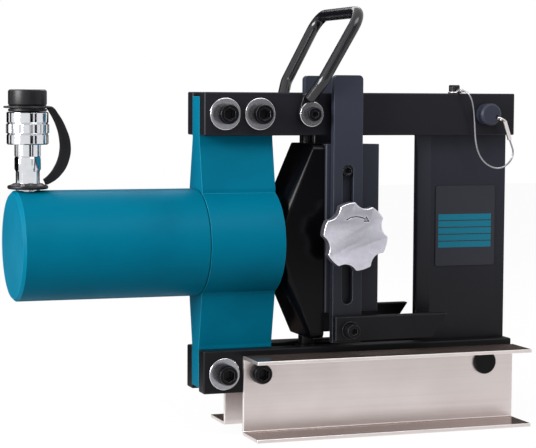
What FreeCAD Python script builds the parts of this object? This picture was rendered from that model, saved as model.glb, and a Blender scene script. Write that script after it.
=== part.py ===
# Hydraulic flat-bar and sheet bending head, worked by a remote pump through the coupler on its barrel.
# Axes: +X along the ram towards the fixed die column, +Y away from the operator, +Z up.
# Origin: the middle of the whole head's length and width, on the surface that it stands on.
# Millimetres throughout. Y = 0 is the plane of symmetry of the frame.
import FreeCAD, Part
import math
import os

import Sketcher

Vector = FreeCAD.Vector

doc = FreeCAD.newDocument("bending_head")
sheet = doc.addObject("Spreadsheet::Sheet", "sizes")
places = doc.addObject("App::VarSet", "places")

# Driving dimensions, in millimetres unless the name says degrees, count or share.
SIZES = [
    # four flat bars that carry everything
    ("bar_length", "300"),
    ("bar_height", "38"),
    ("bar_thickness", "15"),
    ("bar_gap", "20"),
    ("bar_opening", "189"),
    ("bar_height_off_floor", "38"),
    ("bar_edge", "0.8"),
    # two foot channels, back to back outside the lower bars
    ("foot_length", "264"),
    ("foot_height", "71"),
    ("foot_flange", "41"),
    ("foot_wall", "3"),
    ("foot_bend", "4"),
    ("lower_hole_drop", "1.5"),
    # clearances
    ("pin_clearance", "0.05"),
    ("slide_clearance", "0.1"),
    ("free_clearance", "0.3"),
    ("running_gap", "3"),
    ("overrun", "2"),
    # head block between the left ends of the bars, with the hydraulic barrel behind it
    ("head_length", "68"),
    ("barrel_diameter", "95"),
    ("ear_flare", "37"),
    ("ear_inset", "4"),
    ("barrel_length", "164"),
    ("barrel_bore", "70"),
    ("barrel_end", "26"),
    ("barrel_edge", "2.5"),
    ("port_from_end", "13.6"),
    ("port_diameter", "16"),
    ("port_depth", "14"),
    ("oilway_diameter", "5"),
    ("joint_groove", "1.4"),
    # piston, rod and return spring
    ("rod_diameter", "45"),
    ("piston_length", "24"),
    ("seal_section", "5"),
    ("spigot_diameter", "26"),
    ("spigot_length", "14"),
    ("spring_wire", "5"),
    ("gland_section", "8"),
    # ram head and female die
    ("fan_radius", "31"),
    ("fan_corner", "24"),
    ("fan_length", "28.5"),
    ("fan_plate_gap", "7.5"),
    ("fan_plate_depth", "60"),
    ("fan_plate_length", "11"),
    ("fan_plate_corner", "6"),
    ("post_diameter", "14"),
    ("shoe_height", "31"),
    ("shoe_lift_height", "9"),
    ("vee_length", "51"),
    ("vee_depth", "66"),
    ("vee_gap_below", "31.5"),
    ("vee_gap_above", "7.5"),
    ("vee_lip_width", "3"),
    ("vee_root_radius", "6"),
    # fixed die column between the right ends of the bars
    ("column_inset", "1"),
    ("column_width", "88"),
    ("column_lug_width", "58"),
    ("column_thickness", "19.8"),
    ("column_overlap", "3"),
    ("nose_radius", "5"),
    ("nose_half_angle_degrees", "30"),
    ("pin_diameter", "20"),
    ("pin_from_end", "29"),
    ("pin_reach", "12"),
    ("pin_edge", "1.5"),
    ("pin_hole", "4.2"),
    ("pin_hole_from_end", "5.5"),
    ("pivot_head", "3"),
    ("pivot_head_diameter", "22"),
    ("plate_length", "60"),
    ("plate_height", "74"),
    ("plate_thickness", "1.2"),
    ("plate_from_pin", "12"),
    ("plate_above_axis", "10.5"),
    ("plate_corner", "2"),
    # fasteners
    ("bolt_diameter", "12"),
    ("bolt_head_diameter", "18"),
    ("bolt_head_height", "12"),
    ("bolt_socket", "10"),
    ("bolt_from_end", "18.5"),
    ("bolt_from_head_end", "17.5"),
    ("washer_diameter", "28"),
    ("washer_thickness", "2.5"),
    ("nut_width", "18"),
    ("nut_height", "10"),
    ("screw_diameter", "8"),
    ("screw_head_diameter", "13"),
    ("screw_head_height", "8"),
    ("screw_socket", "6"),
    ("screw_bite", "11"),
    # sheet supports on both sides of the female die
    ("support_width", "27.5"),
    ("support_thickness", "7"),
    ("support_height_above_bars", "15.5"),
    ("support_gap_below", "5"),
    ("support_corner", "4"),
    ("support_from_vee_back", "4.5"),
    ("slot_width", "10.4"),
    ("slot_from_support_bottom", "34"),
    ("guide_from_die_top", "23.5"),
    ("arm_length", "109"),
    ("arm_height", "22"),
    ("arm_thickness", "8"),
    ("arm_top_from_support_bottom", "24"),
    ("arm_undercut_length", "15.6"),
    ("arm_screw_height", "9.7"),
    # clamp knob and its through bolt
    ("knob_height_above_axis", "6.5"),
    ("knob_diameter", "62"),
    ("knob_valley_radius", "8"),
    ("knob_disc", "13"),
    ("knob_boss_diameter", "24"),
    ("knob_boss", "5"),
    ("knob_round", "2"),
    ("knob_lobe_count", "6"),
    ("knob_turn_degrees", "45"),
    ("clamp_bolt_diameter", "10"),
    ("clamp_head_width", "16"),
    ("clamp_head_height", "6.4"),
    ("clamp_bolt_reach", "12"),
    # carrying handle, a bent round bar with flattened eyes
    ("handle_diameter", "10.5"),
    ("handle_from_head", "28.4"),
    ("handle_eye_diameter", "22"),
    ("handle_eye_thickness", "7"),
    ("handle_bush_diameter", "12"),
    ("handle_washer_diameter", "22"),
    ("handle_washer_thickness", "1.6"),
    ("handle_root_offset", "2.4"),
    ("handle_root_height", "13.5"),
    ("handle_root_extra_width", "5"),
    ("handle_knee_offset", "5.2"),
    ("handle_knee_height", "29"),
    ("handle_knee_extra_width", "11.2"),
    ("handle_grip_offset", "39.5"),
    ("handle_grip_height", "90"),
    ("handle_grip_extra_width", "4.8"),
    ("handle_grip_radius", "15"),
    ("handle_knee_radius", "12"),
    # quick coupler on top of the barrel
    ("neck_diameter", "24"),
    ("neck_height", "16"),
    ("strap_ring_diameter", "35"),
    ("strap_ring_height", "5"),
    ("strap_ring_lift", "1.5"),
    ("coupler_hex", "21.6"),
    ("coupler_hex_height", "13.6"),
    ("coupler_hex_turn_degrees", "36"),
    ("coupler_body_height", "9.8"),
    ("collar_diameter", "35.6"),
    ("collar_height", "27.8"),
    ("collar_wall", "5.5"),
    ("collar_band", "9"),
    ("collar_band_groove", "0.9"),
    ("collar_rib_height", "0.6"),
    ("collar_scallop_count", "12"),
    ("collar_scallop_radius", "5"),
    ("coupler_bore", "13"),
    ("coupler_bore_depth", "15"),
    ("poppet_diameter", "6"),
    ("cap_diameter", "33"),
    ("cap_height", "14"),
    ("cap_edge", "2"),
    ("cap_flange_diameter", "41"),
    ("cap_flange", "2.2"),
    ("cap_step", "2.6"),
    ("cap_plug_length", "10"),
    ("strap_width", "9.5"),
    ("strap_thickness", "3.2"),
    ("strap_bulge", "12.5"),
    ("strap_seat", "3"),
    # lanyard that keeps the release pin on the machine
    ("lanyard_wire_diameter", "1.6"),
    ("ferrule_diameter", "4"),
    ("eye_radius", "5"),
    ("lanyard_screw_diameter", "6"),
    ("lanyard_screw_head", "10"),
    ("lanyard_screw_head_height", "6"),
    ("lanyard_screw_socket", "5"),
    ("lanyard_screw_length", "12"),
    ("lanyard_from_bar_right", "58"),
]
for number, (alias, text) in enumerate(SIZES, start=1):
    sheet.set("A%d" % number, alias)
    sheet.set("B%d" % number, text)
    sheet.setAlias("B%d" % number, alias)
doc.recompute()

# Places that follow from the sizes.
PLACES = [
    ("overall_length", "sizes.bar_length + sizes.barrel_length - sizes.port_from_end + sizes.cap_flange_diameter / 2"),
    ("bar_right", "places.overall_length / 2"),
    ("foot_left", "places.bar_right - sizes.foot_length"),
    ("bar_left", "places.bar_right - sizes.bar_length"),
    ("bar_inner", "sizes.bar_gap / 2"),
    ("bar_outer", "places.bar_inner + sizes.bar_thickness"),
    ("lower_bar_bottom", "sizes.bar_height_off_floor"),
    ("lower_hole_height", "places.lower_bar_bottom + sizes.bar_height / 2 - sizes.lower_hole_drop"),
    ("lower_bar_top", "places.lower_bar_bottom + sizes.bar_height"),
    ("upper_bar_bottom", "places.lower_bar_top + sizes.bar_opening"),
    ("upper_bar_middle", "places.upper_bar_bottom + sizes.bar_height / 2"),
    ("upper_bar_top", "places.upper_bar_bottom + sizes.bar_height"),
    ("axis_height", "places.lower_bar_top + sizes.bar_opening / 2"),
    ("head_right", "places.bar_left + sizes.head_length"),
    ("barrel_left", "places.bar_left - sizes.barrel_length"),
    ("port_x", "places.barrel_left + sizes.port_from_end"),
    ("barrel_top", "places.axis_height + sizes.barrel_diameter / 2"),
    ("first_bolt_x", "places.bar_left + sizes.bolt_from_end"),
    ("second_bolt_x", "places.head_right - sizes.bolt_from_head_end"),
    ("foot_face", "places.bar_outer + sizes.foot_wall"),
    ("pin_x", "places.bar_right - sizes.pin_from_end"),
    ("handle_x", "places.head_right + sizes.handle_from_head"),
    ("piston_left", "places.barrel_left + sizes.barrel_end + sizes.running_gap"),
    ("piston_right", "places.piston_left + sizes.piston_length"),
    ("fan_left", "places.head_right + sizes.running_gap"),
    ("fan_plate_left", "places.fan_left + sizes.fan_length"),
    ("vee_left", "places.fan_plate_left + sizes.fan_plate_length"),
    ("vee_right", "places.vee_left + sizes.vee_length"),
    ("vee_bottom", "places.lower_bar_top + sizes.vee_gap_below"),
    ("vee_height", "sizes.bar_opening - sizes.vee_gap_below - sizes.vee_gap_above"),
    ("vee_mouth", "sizes.vee_depth - 2 * sizes.vee_lip_width"),
    ("vee_apex", "places.vee_right - places.vee_mouth / 2"),
    ("vee_side", "sizes.vee_depth / 2"),
    ("post_x", "places.fan_plate_left + sizes.fan_plate_length / 2"),
    ("fan_plate_height", "sizes.bar_opening - 2 * sizes.fan_plate_gap"),
    ("fan_top", "places.axis_height + places.fan_plate_height / 2"),
    ("fan_bottom", "places.axis_height - places.fan_plate_height / 2"),
    ("column_right", "places.bar_right - sizes.column_inset"),
    ("nose_tip", "places.column_right - sizes.column_width"),
    ("nose_sharp", "places.nose_tip + sizes.nose_radius - sizes.nose_radius / sin(sizes.nose_half_angle_degrees * 1deg)"),
    ("nose_back", "places.nose_sharp + sizes.column_thickness / 2 / tan(sizes.nose_half_angle_degrees * 1deg)"),
    ("plate_x", "places.pin_x + sizes.pin_from_end - sizes.plate_from_pin - sizes.plate_length / 2"),
    ("plate_z", "places.axis_height + sizes.plate_above_axis"),
    ("support_top", "places.upper_bar_top + sizes.support_height_above_bars"),
    ("support_bottom", "places.lower_bar_top + sizes.support_gap_below"),
    ("support_inner", "places.vee_side + sizes.slide_clearance"),
    ("support_outer", "places.support_inner + sizes.support_thickness"),
    ("support_left", "places.vee_left + sizes.support_from_vee_back"),
    ("slot_x", "places.support_left + sizes.support_width / 2"),
    ("arm_outer", "places.support_outer + sizes.arm_thickness"),
    ("guide_head", "sizes.slot_width - 2 * sizes.pin_clearance"),
    ("guide_height", "places.vee_bottom + places.vee_height - sizes.guide_from_die_top"),
    ("slot_bottom", "places.support_bottom + sizes.slot_from_support_bottom"),
    ("slot_top", "places.guide_height + places.guide_head / 2 + sizes.free_clearance"),
    ("arm_top", "places.support_bottom + sizes.arm_top_from_support_bottom"),
    ("arm_screw_z", "places.arm_top - sizes.arm_height + sizes.arm_screw_height"),
    ("knob_height", "places.axis_height + sizes.knob_height_above_axis"),
    ("knob_back", "places.support_outer + sizes.handle_washer_thickness + sizes.slide_clearance"),
    ("knob_front", "places.knob_back + sizes.knob_boss + sizes.knob_disc"),
    ("neck_top", "places.barrel_top + sizes.neck_height"),
    ("hex_top", "places.neck_top + sizes.coupler_hex_height"),
    ("collar_bottom", "places.hex_top + sizes.coupler_body_height"),
    ("collar_top", "places.collar_bottom + sizes.collar_height"),
    ("collar_bore", "sizes.collar_diameter - 2 * sizes.collar_wall"),
    ("strap_ring_bottom", "places.barrel_top + sizes.strap_ring_lift"),
    ("cap_bottom", "places.collar_top + sizes.free_clearance"),
    ("cap_flange_bottom", "places.cap_bottom + sizes.cap_step"),
    ("cap_flange_top", "places.cap_flange_bottom + sizes.cap_flange"),
    ("cap_top", "places.cap_flange_top + sizes.cap_height"),
    ("eye_inner", "places.bar_outer + sizes.free_clearance"),
    ("handle_root_y", "places.eye_inner + sizes.handle_diameter / 2 + sizes.handle_root_extra_width"),
    ("handle_knee_y", "places.handle_root_y + sizes.handle_knee_extra_width"),
    ("handle_grip_y", "places.handle_knee_y + sizes.handle_grip_extra_width"),
    ("bush_end", "places.eye_inner + sizes.handle_eye_thickness + sizes.free_clearance"),
    ("lanyard_x", "places.bar_right - sizes.lanyard_from_bar_right"),
    ("lanyard_y", "-(places.bar_outer - sizes.bar_thickness / 2)"),
    ("pin_front", "places.bar_outer + sizes.pin_reach"),
]
for name, formula in PLACES:
    places.addProperty("App::PropertyFloat", name)
    places.setExpression(name, formula)
doc.recompute()


def amount(text):
    # The number that an expression over the sizes and places stands for.
    found = places.evalExpression(text)
    return float(getattr(found, "Value", found))


nodes = []


def finished(item):
    # Marks an object as a sub-part that is written to its own file.
    nodes.append(item)
    return item


def put(item, x="0", y="0", z="0"):
    # Ties an object's position to three expressions.
    item.setExpression("Placement.Base.x", x)
    item.setExpression("Placement.Base.y", y)
    item.setExpression("Placement.Base.z", z)
    return item


def new_body(label):
    body = doc.addObject("PartDesign::Body", label)
    body.Label = label
    return body


def new_sketch(body, role, offset="0"):
    # A sketch on one of the body's own planes, moved along the plane's normal.
    plane = [feature for feature in body.Origin.OriginFeatures if feature.Role == role][0]
    sketch = body.newObject("Sketcher::SketchObject", body.Name + "_outline")
    sketch.AttachmentSupport = (plane, "")
    sketch.MapMode = "FlatFace"
    sketch.setExpression("AttachmentOffset.Base.z", offset)
    return sketch


def tie(sketch, kind, parts, text):
    # Adds one dimension to a sketch and ties it to an expression.
    index = sketch.addConstraint(Sketcher.Constraint(kind, *parts, amount(text)))
    sketch.setExpression("Constraints[%d]" % index, text)


def tie_point(sketch, curve, end, x, y):
    tie(sketch, "DistanceX", (-1, 1, curve, end), x)
    tie(sketch, "DistanceY", (-1, 1, curve, end), y)


def arc_between(start, finish, radius):
    # The shorter arc from start to finish: a positive radius turns anticlockwise.
    chord = finish - start
    half = chord.Length / 2
    side = Vector(-chord.y, chord.x, 0).normalize()
    height = math.sqrt(max(radius * radius - half * half, 0))
    turn = 1 if radius > 0 else -1
    centre = (start + finish) / 2 + side * height * turn
    first, last = (start, finish) if turn > 0 else (finish, start)
    circle = Part.Circle(centre, Vector(0, 0, 1), abs(radius))
    return Part.ArcOfCircle(circle, circle.parameter(first), circle.parameter(last))


def outline(sketch, points):
    # A closed outline. Each point is (x, y), or (x, y, radius) when an arc arrives there.
    spots = [Vector(amount(point[0]), amount(point[1]), 0) for point in points]
    ends = []
    for index, point in enumerate(points):
        start = spots[index - 1]
        finish = spots[index]
        if len(point) == 2:
            curve = sketch.addGeometry(Part.LineSegment(start, finish))
            ends.append((curve, 1, 2))
        else:
            radius = amount(point[2])
            curve = sketch.addGeometry(arc_between(start, finish, radius))
            ends.append((curve, 1, 2) if radius > 0 else (curve, 2, 1))
    for index, point in enumerate(points):
        curve, first, last = ends[index]
        following, following_first, following_last = ends[(index + 1) % len(points)]
        sketch.addConstraint(Sketcher.Constraint("Coincident", curve, last, following, following_first))
        tie_point(sketch, curve, last, point[0], point[1])
    for index, point in enumerate(points):
        if len(point) == 3:
            radius_text = point[2] if amount(point[2]) > 0 else "-(%s)" % point[2]
            tie(sketch, "Radius", (ends[index][0],), radius_text)
    return sketch


def rectangle(sketch, left, right, bottom, top):
    return outline(sketch, [(left, bottom), (right, bottom), (right, top), (left, top)])


def rounded_rectangle(sketch, half_width, half_height, corner):
    # Centred on the sketch's origin, anticlockwise from the lower right.
    inner_x = "(%s) - (%s)" % (half_width, corner)
    inner_y = "(%s) - (%s)" % (half_height, corner)
    return outline(sketch, [
        ("-(%s)" % inner_x, "-(%s)" % half_height, corner),
        (inner_x, "-(%s)" % half_height),
        (half_width, "-(%s)" % inner_y, corner),
        (half_width, inner_y),
        (inner_x, half_height, corner),
        ("-(%s)" % inner_x, half_height),
        ("-(%s)" % half_width, inner_y, corner),
        ("-(%s)" % half_width, "-(%s)" % inner_y),
    ])


def circle(sketch, x, y, diameter):
    spot = Vector(amount(x), amount(y), 0)
    curve = sketch.addGeometry(Part.Circle(spot, Vector(0, 0, 1), amount(diameter) / 2))
    tie_point(sketch, curve, 3, x, y)
    tie(sketch, "Diameter", (curve,), diameter)
    return sketch


def slot(sketch, x, low, high, width):
    # An upright slot with round ends, from its lowest to its highest point.
    centre = amount(x)
    radius = amount(width) / 2
    levels = [amount(low) + radius, amount(high) - radius]
    level_texts = ["(%s) + (%s) / 2" % (low, width), "(%s) - (%s) / 2" % (high, width)]
    sides = [centre - radius, centre + radius]
    side_texts = ["(%s) - (%s) / 2" % (x, width), "(%s) + (%s) / 2" % (x, width)]
    normal = Vector(0, 0, 1)
    below = Part.Circle(Vector(centre, levels[0], 0), normal, radius)
    above = Part.Circle(Vector(centre, levels[1], 0), normal, radius)
    lower = sketch.addGeometry(Part.ArcOfCircle(below, math.pi, math.tau))
    right = sketch.addGeometry(Part.LineSegment(Vector(sides[1], levels[0], 0), Vector(sides[1], levels[1], 0)))
    upper = sketch.addGeometry(Part.ArcOfCircle(above, 0, math.pi))
    left = sketch.addGeometry(Part.LineSegment(Vector(sides[0], levels[1], 0), Vector(sides[0], levels[0], 0)))
    order = [lower, right, upper, left]
    for index, curve in enumerate(order):
        following = order[(index + 1) % len(order)]
        sketch.addConstraint(Sketcher.Constraint("Coincident", curve, 2, following, 1))
    tie_point(sketch, right, 1, side_texts[1], level_texts[0])
    tie_point(sketch, right, 2, side_texts[1], level_texts[1])
    tie_point(sketch, left, 1, side_texts[0], level_texts[1])
    tie_point(sketch, left, 2, side_texts[0], level_texts[0])
    tie(sketch, "DistanceY", (-1, 1, lower, 3), level_texts[0])
    tie(sketch, "DistanceY", (-1, 1, upper, 3), level_texts[1])
    return sketch


def hexagon(sketch, x, y, across):
    # Six flats around a centre, with two corners on the line y.
    corner = "(%s) / sqrt(3)" % across
    half = "(%s) / 2 / sqrt(3)" % across
    flat = "(%s) / 2" % across
    places_around = [(corner, "0"), (half, flat), ("-(%s)" % half, flat)]
    opposite = [("-(%s)" % dx, "-(%s)" % dy) for dx, dy in places_around]
    around = [("(%s) + %s" % (x, dx), "(%s) + %s" % (y, dy)) for dx, dy in places_around + opposite]
    return outline(sketch, around)


def pad(body, sketch, length, both_ways=False, reverse=False):
    feature = body.newObject("PartDesign::Pad", body.Name + "_pad")
    feature.Profile = sketch
    feature.setExpression("Length", length)
    feature.Midplane = both_ways
    feature.Reversed = reverse
    sketch.Visibility = False
    doc.recompute()
    return feature


def pocket(body, sketch, length=None, both_ways=False, reverse=False):
    # Cuts through the whole solid unless a depth is given, and makes sure that it did cut.
    before = body.Shape.Volume
    feature = body.newObject("PartDesign::Pocket", body.Name + "_pocket")
    feature.Profile = sketch
    feature.Midplane = both_ways
    feature.Reversed = reverse
    if length is None:
        feature.Type = "ThroughAll"
    else:
        feature.setExpression("Length", length)
    doc.recompute()
    if not body.Shape.Volume < before:
        raise ValueError(body.Label + " has a pocket that removes nothing")
    return feature


def turn(body, sketch, axis):
    feature = body.newObject("PartDesign::Revolution", body.Name + "_turned")
    feature.Profile = sketch
    feature.ReferenceAxis = (sketch, [axis])
    doc.recompute()
    return feature


def groove(body, sketch, axis):
    before = body.Shape.Volume
    feature = body.newObject("PartDesign::Groove", body.Name + "_groove")
    feature.Profile = sketch
    feature.ReferenceAxis = (sketch, [axis])
    doc.recompute()
    if not body.Shape.Volume < before:
        raise ValueError(body.Label + " has a groove that removes nothing")
    return feature


def edges_where(shape, test):
    # Names of the edges whose middle point passes the test.
    names = []
    for number, edge in enumerate(shape.Edges, start=1):
        middle = edge.valueAt((edge.FirstParameter + edge.LastParameter) / 2)
        if test(edge, middle):
            names.append("Edge%d" % number)
    return names


def soften(body, kind, amount_text, test):
    # Rounds or bevels the chosen edges of a body's last feature.
    base = body.Tip
    names = edges_where(base.Shape, test)
    if not names:
        raise ValueError(body.Label + " has no edge to soften")
    feature = body.newObject("PartDesign::" + kind, body.Name + "_" + kind.lower())
    feature.Base = (base, names)
    feature.setExpression("Radius" if kind == "Fillet" else "Size", amount_text)
    doc.recompute()
    return feature


def near(first, second):
    return abs(first - second) < 1e-4


def is_line(edge):
    return edge.Curve.TypeId == "Part::GeomLine"


def is_circle(edge):
    return edge.Curve.TypeId == "Part::GeomCircle"


def along(edge, axis):
    # True where a straight edge lies along the named axis.
    return is_line(edge) and near(abs(getattr(edge.Curve.Direction, axis)), 1)


def bolt_body(name, diameter, head_diameter, head_height, length, socket):
    # A socket-head screw along +Y, with the underside of its head at Y = 0.
    body = new_body(name)
    sketch = new_sketch(body, "XY_Plane")
    bevel = "%s / 12" % head_height
    tip = "%s / 12" % diameter
    outline(sketch, [
        ("0", "-(%s)" % head_height),
        ("(%s) / 2 - %s" % (head_diameter, bevel), "-(%s)" % head_height),
        ("(%s) / 2" % head_diameter, "%s - (%s)" % (bevel, head_height)),
        ("(%s) / 2" % head_diameter, "0"),
        ("(%s) / 2" % diameter, "0"),
        ("(%s) / 2" % diameter, "(%s) - %s" % (length, tip)),
        ("(%s) / 2 - %s" % (diameter, tip), length),
        ("0", length),
    ])
    turn(body, sketch, "V_Axis")
    recess = new_sketch(body, "XZ_Plane", head_height)
    hexagon(recess, "0", "0", socket)
    pocket(body, recess, "(%s) / 2" % head_height)
    return body


def ring_body(name, outer, inner, thickness):
    # A plain ring along +Y from Y = 0.
    body = new_body(name)
    sketch = new_sketch(body, "XZ_Plane")
    circle(sketch, "0", "0", outer)
    circle(sketch, "0", "0", inner)
    pad(body, sketch, thickness, reverse=True)
    return body


AS_MADE = FreeCAD.Rotation()
TURNED_ROUND = FreeCAD.Rotation(Vector(0, 0, 1), 180)
UPSIDE_DOWN = FreeCAD.Rotation(Vector(1, 0, 0), 180)
POINTING_DOWN = FreeCAD.Rotation(Vector(1, 0, 0), -90)


def placed(label, pattern, spots):
    # One node holding a copy of a pattern piece at each spot: (x, y, z, rotation).
    copies = []
    for number, (x, y, z, rotation) in enumerate(spots, start=1):
        copy = doc.addObject("App::Link", "%s_%d" % (label, number))
        copy.LinkedObject = pattern
        copy.Placement = FreeCAD.Placement(Vector(), rotation)
        copies.append(put(copy, x, y, z))
    group = doc.addObject("Part::Compound", label)
    group.Label = label
    group.Links = copies
    return finished(group)


# Frame bars: two above and two below, with holes for the head bolts, the pins and the handle.
def frame_bar(label, y, z, holes, hole_height, round_hole_on_top=None):
    body = new_body(label)
    sketch = new_sketch(body, "XZ_Plane")
    rectangle(sketch, "0", "sizes.bar_length", "0", "sizes.bar_height")
    for x, diameter in holes:
        circle(sketch, "(%s) - places.bar_left" % x, hole_height, diameter)
    pad(body, sketch, "sizes.bar_thickness")
    soften(body, "Chamfer", "sizes.bar_edge", lambda edge, middle: is_line(edge))
    if round_hole_on_top:
        x, diameter, depth = round_hole_on_top
        top = new_sketch(body, "XY_Plane", "sizes.bar_height")
        circle(top, "(%s) - places.bar_left" % x, "-sizes.bar_thickness / 2", diameter)
        pocket(body, top, depth)
    return finished(put(body, "places.bar_left", y, z))


bolt_hole = "sizes.bolt_diameter + 2 * sizes.pin_clearance"
pin_bore = "sizes.pin_diameter + 2 * sizes.pin_clearance"
screw_hole = "sizes.screw_diameter + 2 * sizes.pin_clearance"
head_bolt_holes = [("places.first_bolt_x", bolt_hole), ("places.second_bolt_x", bolt_hole)]
pin_bore_here = [("places.pin_x", pin_bore)]
handle_hole = [("places.handle_x", screw_hole)]
lanyard_hole = (
    "places.lanyard_x",
    "sizes.lanyard_screw_diameter + 2 * sizes.pin_clearance",
    "sizes.lanyard_screw_length + sizes.overrun",
)
front_y = "-places.bar_inner"
rear_y = "places.bar_outer"
upper_holes = head_bolt_holes + handle_hole + pin_bore_here
lower_holes = head_bolt_holes + pin_bore_here
upper_level = "sizes.bar_height / 2"
lower_level = "sizes.bar_height / 2 - sizes.lower_hole_drop"
frame_bar("front_top_bar", front_y, "places.upper_bar_bottom", upper_holes, upper_level, lanyard_hole)
frame_bar("rear_top_bar", rear_y, "places.upper_bar_bottom", upper_holes, upper_level)
frame_bar("front_bottom_bar", front_y, "places.lower_bar_bottom", lower_holes, lower_level)
frame_bar("rear_bottom_bar", rear_y, "places.lower_bar_bottom", lower_holes, lower_level)


# Foot channels: rolled sheet with its web against the lower bar and both flanges pointing outwards.
def foot_channel(label, rotation, x, y, hole_place):
    body = new_body(label)
    sketch = new_sketch(body, "YZ_Plane")
    wall = "sizes.foot_wall"
    bend = "sizes.foot_bend"
    flange = "sizes.foot_flange"
    top = "sizes.foot_height"
    inner_bend = "-(sizes.foot_bend - sizes.foot_wall)"
    outline(sketch, [
        (flange, "0"),
        (flange, wall),
        (bend, wall),
        (wall, bend, inner_bend),
        (wall, top + " - " + bend),
        (bend, top + " - " + wall, inner_bend),
        (flange, top + " - " + wall),
        (flange, top),
        (bend, top),
        ("0", top + " - " + bend, bend),
        ("0", bend),
        (bend, "0", bend),
    ])
    pad(body, sketch, "sizes.foot_length")
    holes = new_sketch(body, "XZ_Plane")
    for hole_x, diameter in (("places.second_bolt_x", bolt_hole), ("places.pin_x", pin_bore)):
        circle(holes, hole_place % hole_x, "places.lower_hole_height", diameter)
    pocket(body, holes, both_ways=True)
    body.Placement = FreeCAD.Placement(Vector(), rotation)
    return finished(put(body, x, y))


foot_channel("foot_channel_rear", AS_MADE, "places.foot_left", "places.bar_outer", "%s - places.foot_left")
foot_channel("foot_channel_front", TURNED_ROUND, "places.bar_right", "-places.bar_outer", "places.bar_right - %s")


# Head block: round boss on the ram axis, with flaring ears that the bars clamp above and below.
def head_block():
    body = new_body("head_block")
    ears = new_sketch(body, "YZ_Plane")
    thin = "sizes.column_thickness / 2"
    thick = "sizes.ear_flare / 2"
    top = "places.upper_bar_top - places.axis_height - sizes.ear_inset"
    shoulder = "sizes.bar_opening / 2 - sizes.running_gap"
    flare = "sizes.barrel_diameter / 2"
    right_side = [(thin, top), (thin, shoulder), (thick, flare)]
    lower_right = [(thick, "-(%s)" % flare), (thin, "-(%s)" % shoulder), (thin, "-(%s)" % top)]
    left_side = [("-(%s)" % y, z) for y, z in reversed(right_side)]
    lower_left = [("-(%s)" % y, z) for y, z in reversed(lower_right)]
    outline(ears, lower_left + left_side + right_side + lower_right)
    pad(body, ears, "sizes.head_length")
    boss = new_sketch(body, "YZ_Plane")
    circle(boss, "0", "0", "sizes.barrel_diameter")
    pad(body, boss, "sizes.head_length")
    bore = new_sketch(body, "YZ_Plane")
    circle(bore, "0", "0", "sizes.rod_diameter + 2 * sizes.pin_clearance")
    pocket(body, bore, "sizes.head_length", reverse=True)
    seat = new_sketch(body, "YZ_Plane", "sizes.head_length")
    circle(seat, "0", "0", "sizes.rod_diameter + 2 * sizes.gland_section")
    pocket(body, seat, "sizes.gland_section")
    bolts = new_sketch(body, "XZ_Plane")
    for x in ("places.first_bolt_x", "places.second_bolt_x"):
        for z in ("places.upper_bar_middle", "places.lower_hole_height"):
            circle(bolts, "%s - places.bar_left" % x, "%s - places.axis_height" % z, bolt_hole)
    pocket(body, bolts, both_ways=True)
    return finished(put(body, "places.bar_left", "0", "places.axis_height"))


head_block()


# Barrel: thick tube with a closed rear end, a port for the coupler and the oilway behind the piston.
def cylinder_barrel():
    body = new_body("cylinder_barrel")
    sketch = new_sketch(body, "XZ_Plane")
    radius = "sizes.barrel_diameter / 2"
    length = "sizes.barrel_length"
    outline(sketch, [
        ("0", "0"),
        ("sizes.barrel_end", "0"),
        ("sizes.barrel_end", "sizes.barrel_bore / 2"),
        (length, "sizes.barrel_bore / 2"),
        (length, radius + " - sizes.joint_groove"),
        (length + " - sizes.joint_groove", radius),
        ("sizes.barrel_edge", radius),
        ("0", radius + " - sizes.barrel_edge"),
    ])
    turn(body, sketch, "H_Axis")
    port = new_sketch(body, "XY_Plane", radius)
    circle(port, "sizes.port_from_end", "0", "sizes.port_diameter")
    pocket(body, port, "sizes.port_depth")
    drop = new_sketch(body, "XY_Plane", radius)
    circle(drop, "sizes.port_from_end", "0", "sizes.oilway_diameter")
    pocket(body, drop, radius)
    across = new_sketch(body, "YZ_Plane", "sizes.port_from_end")
    circle(across, "0", "0", "sizes.oilway_diameter")
    pocket(body, across, "sizes.barrel_end - sizes.port_from_end", reverse=True)
    return finished(put(body, "places.barrel_left", "0", "places.axis_height"))


cylinder_barrel()


# Turned pieces on the ram axis. Each outline runs in X and in distance from the axis.
def turned_on_axis(label, points, x, z="places.axis_height"):
    body = new_body(label)
    sketch = new_sketch(body, "XZ_Plane")
    outline(sketch, points)
    turn(body, sketch, "H_Axis")
    return finished(put(body, x, "0", z))


piston_radius = "sizes.barrel_bore / 2 - sizes.pin_clearance"
seal_floor = piston_radius + " - sizes.seal_section"
seal_left = "(sizes.piston_length - sizes.seal_section) / 2"
seal_right = "(sizes.piston_length + sizes.seal_section) / 2"
spigot_bore = "sizes.spigot_diameter / 2 + sizes.pin_clearance"
turned_on_axis("piston", [
    ("0", spigot_bore),
    ("sizes.piston_length", spigot_bore),
    ("sizes.piston_length", piston_radius),
    (seal_right, piston_radius),
    (seal_right, seal_floor),
    (seal_left, seal_floor),
    (seal_left, piston_radius),
    ("0", piston_radius),
], "places.piston_left")
seal_inner = seal_floor + " + sizes.pin_clearance"
turned_on_axis("piston_seal", [
    (seal_left, seal_inner),
    (seal_right, seal_inner),
    (seal_right, piston_radius),
    (seal_left, piston_radius),
], "places.piston_left")
rod_length = "places.fan_left - places.piston_right"
rod_end = "(%s) + sizes.spigot_length" % rod_length
turned_on_axis("ram_rod", [
    ("-sizes.piston_length", "0"),
    (rod_end, "0"),
    (rod_end, "sizes.spigot_diameter / 2"),
    (rod_length, "sizes.spigot_diameter / 2"),
    (rod_length, "sizes.rod_diameter / 2"),
    ("0", "sizes.rod_diameter / 2"),
    ("0", "sizes.spigot_diameter / 2"),
    ("-sizes.piston_length", "sizes.spigot_diameter / 2"),
], "places.piston_right")
spring_room = "places.bar_left - places.piston_right - 2 * sizes.free_clearance"
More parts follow.
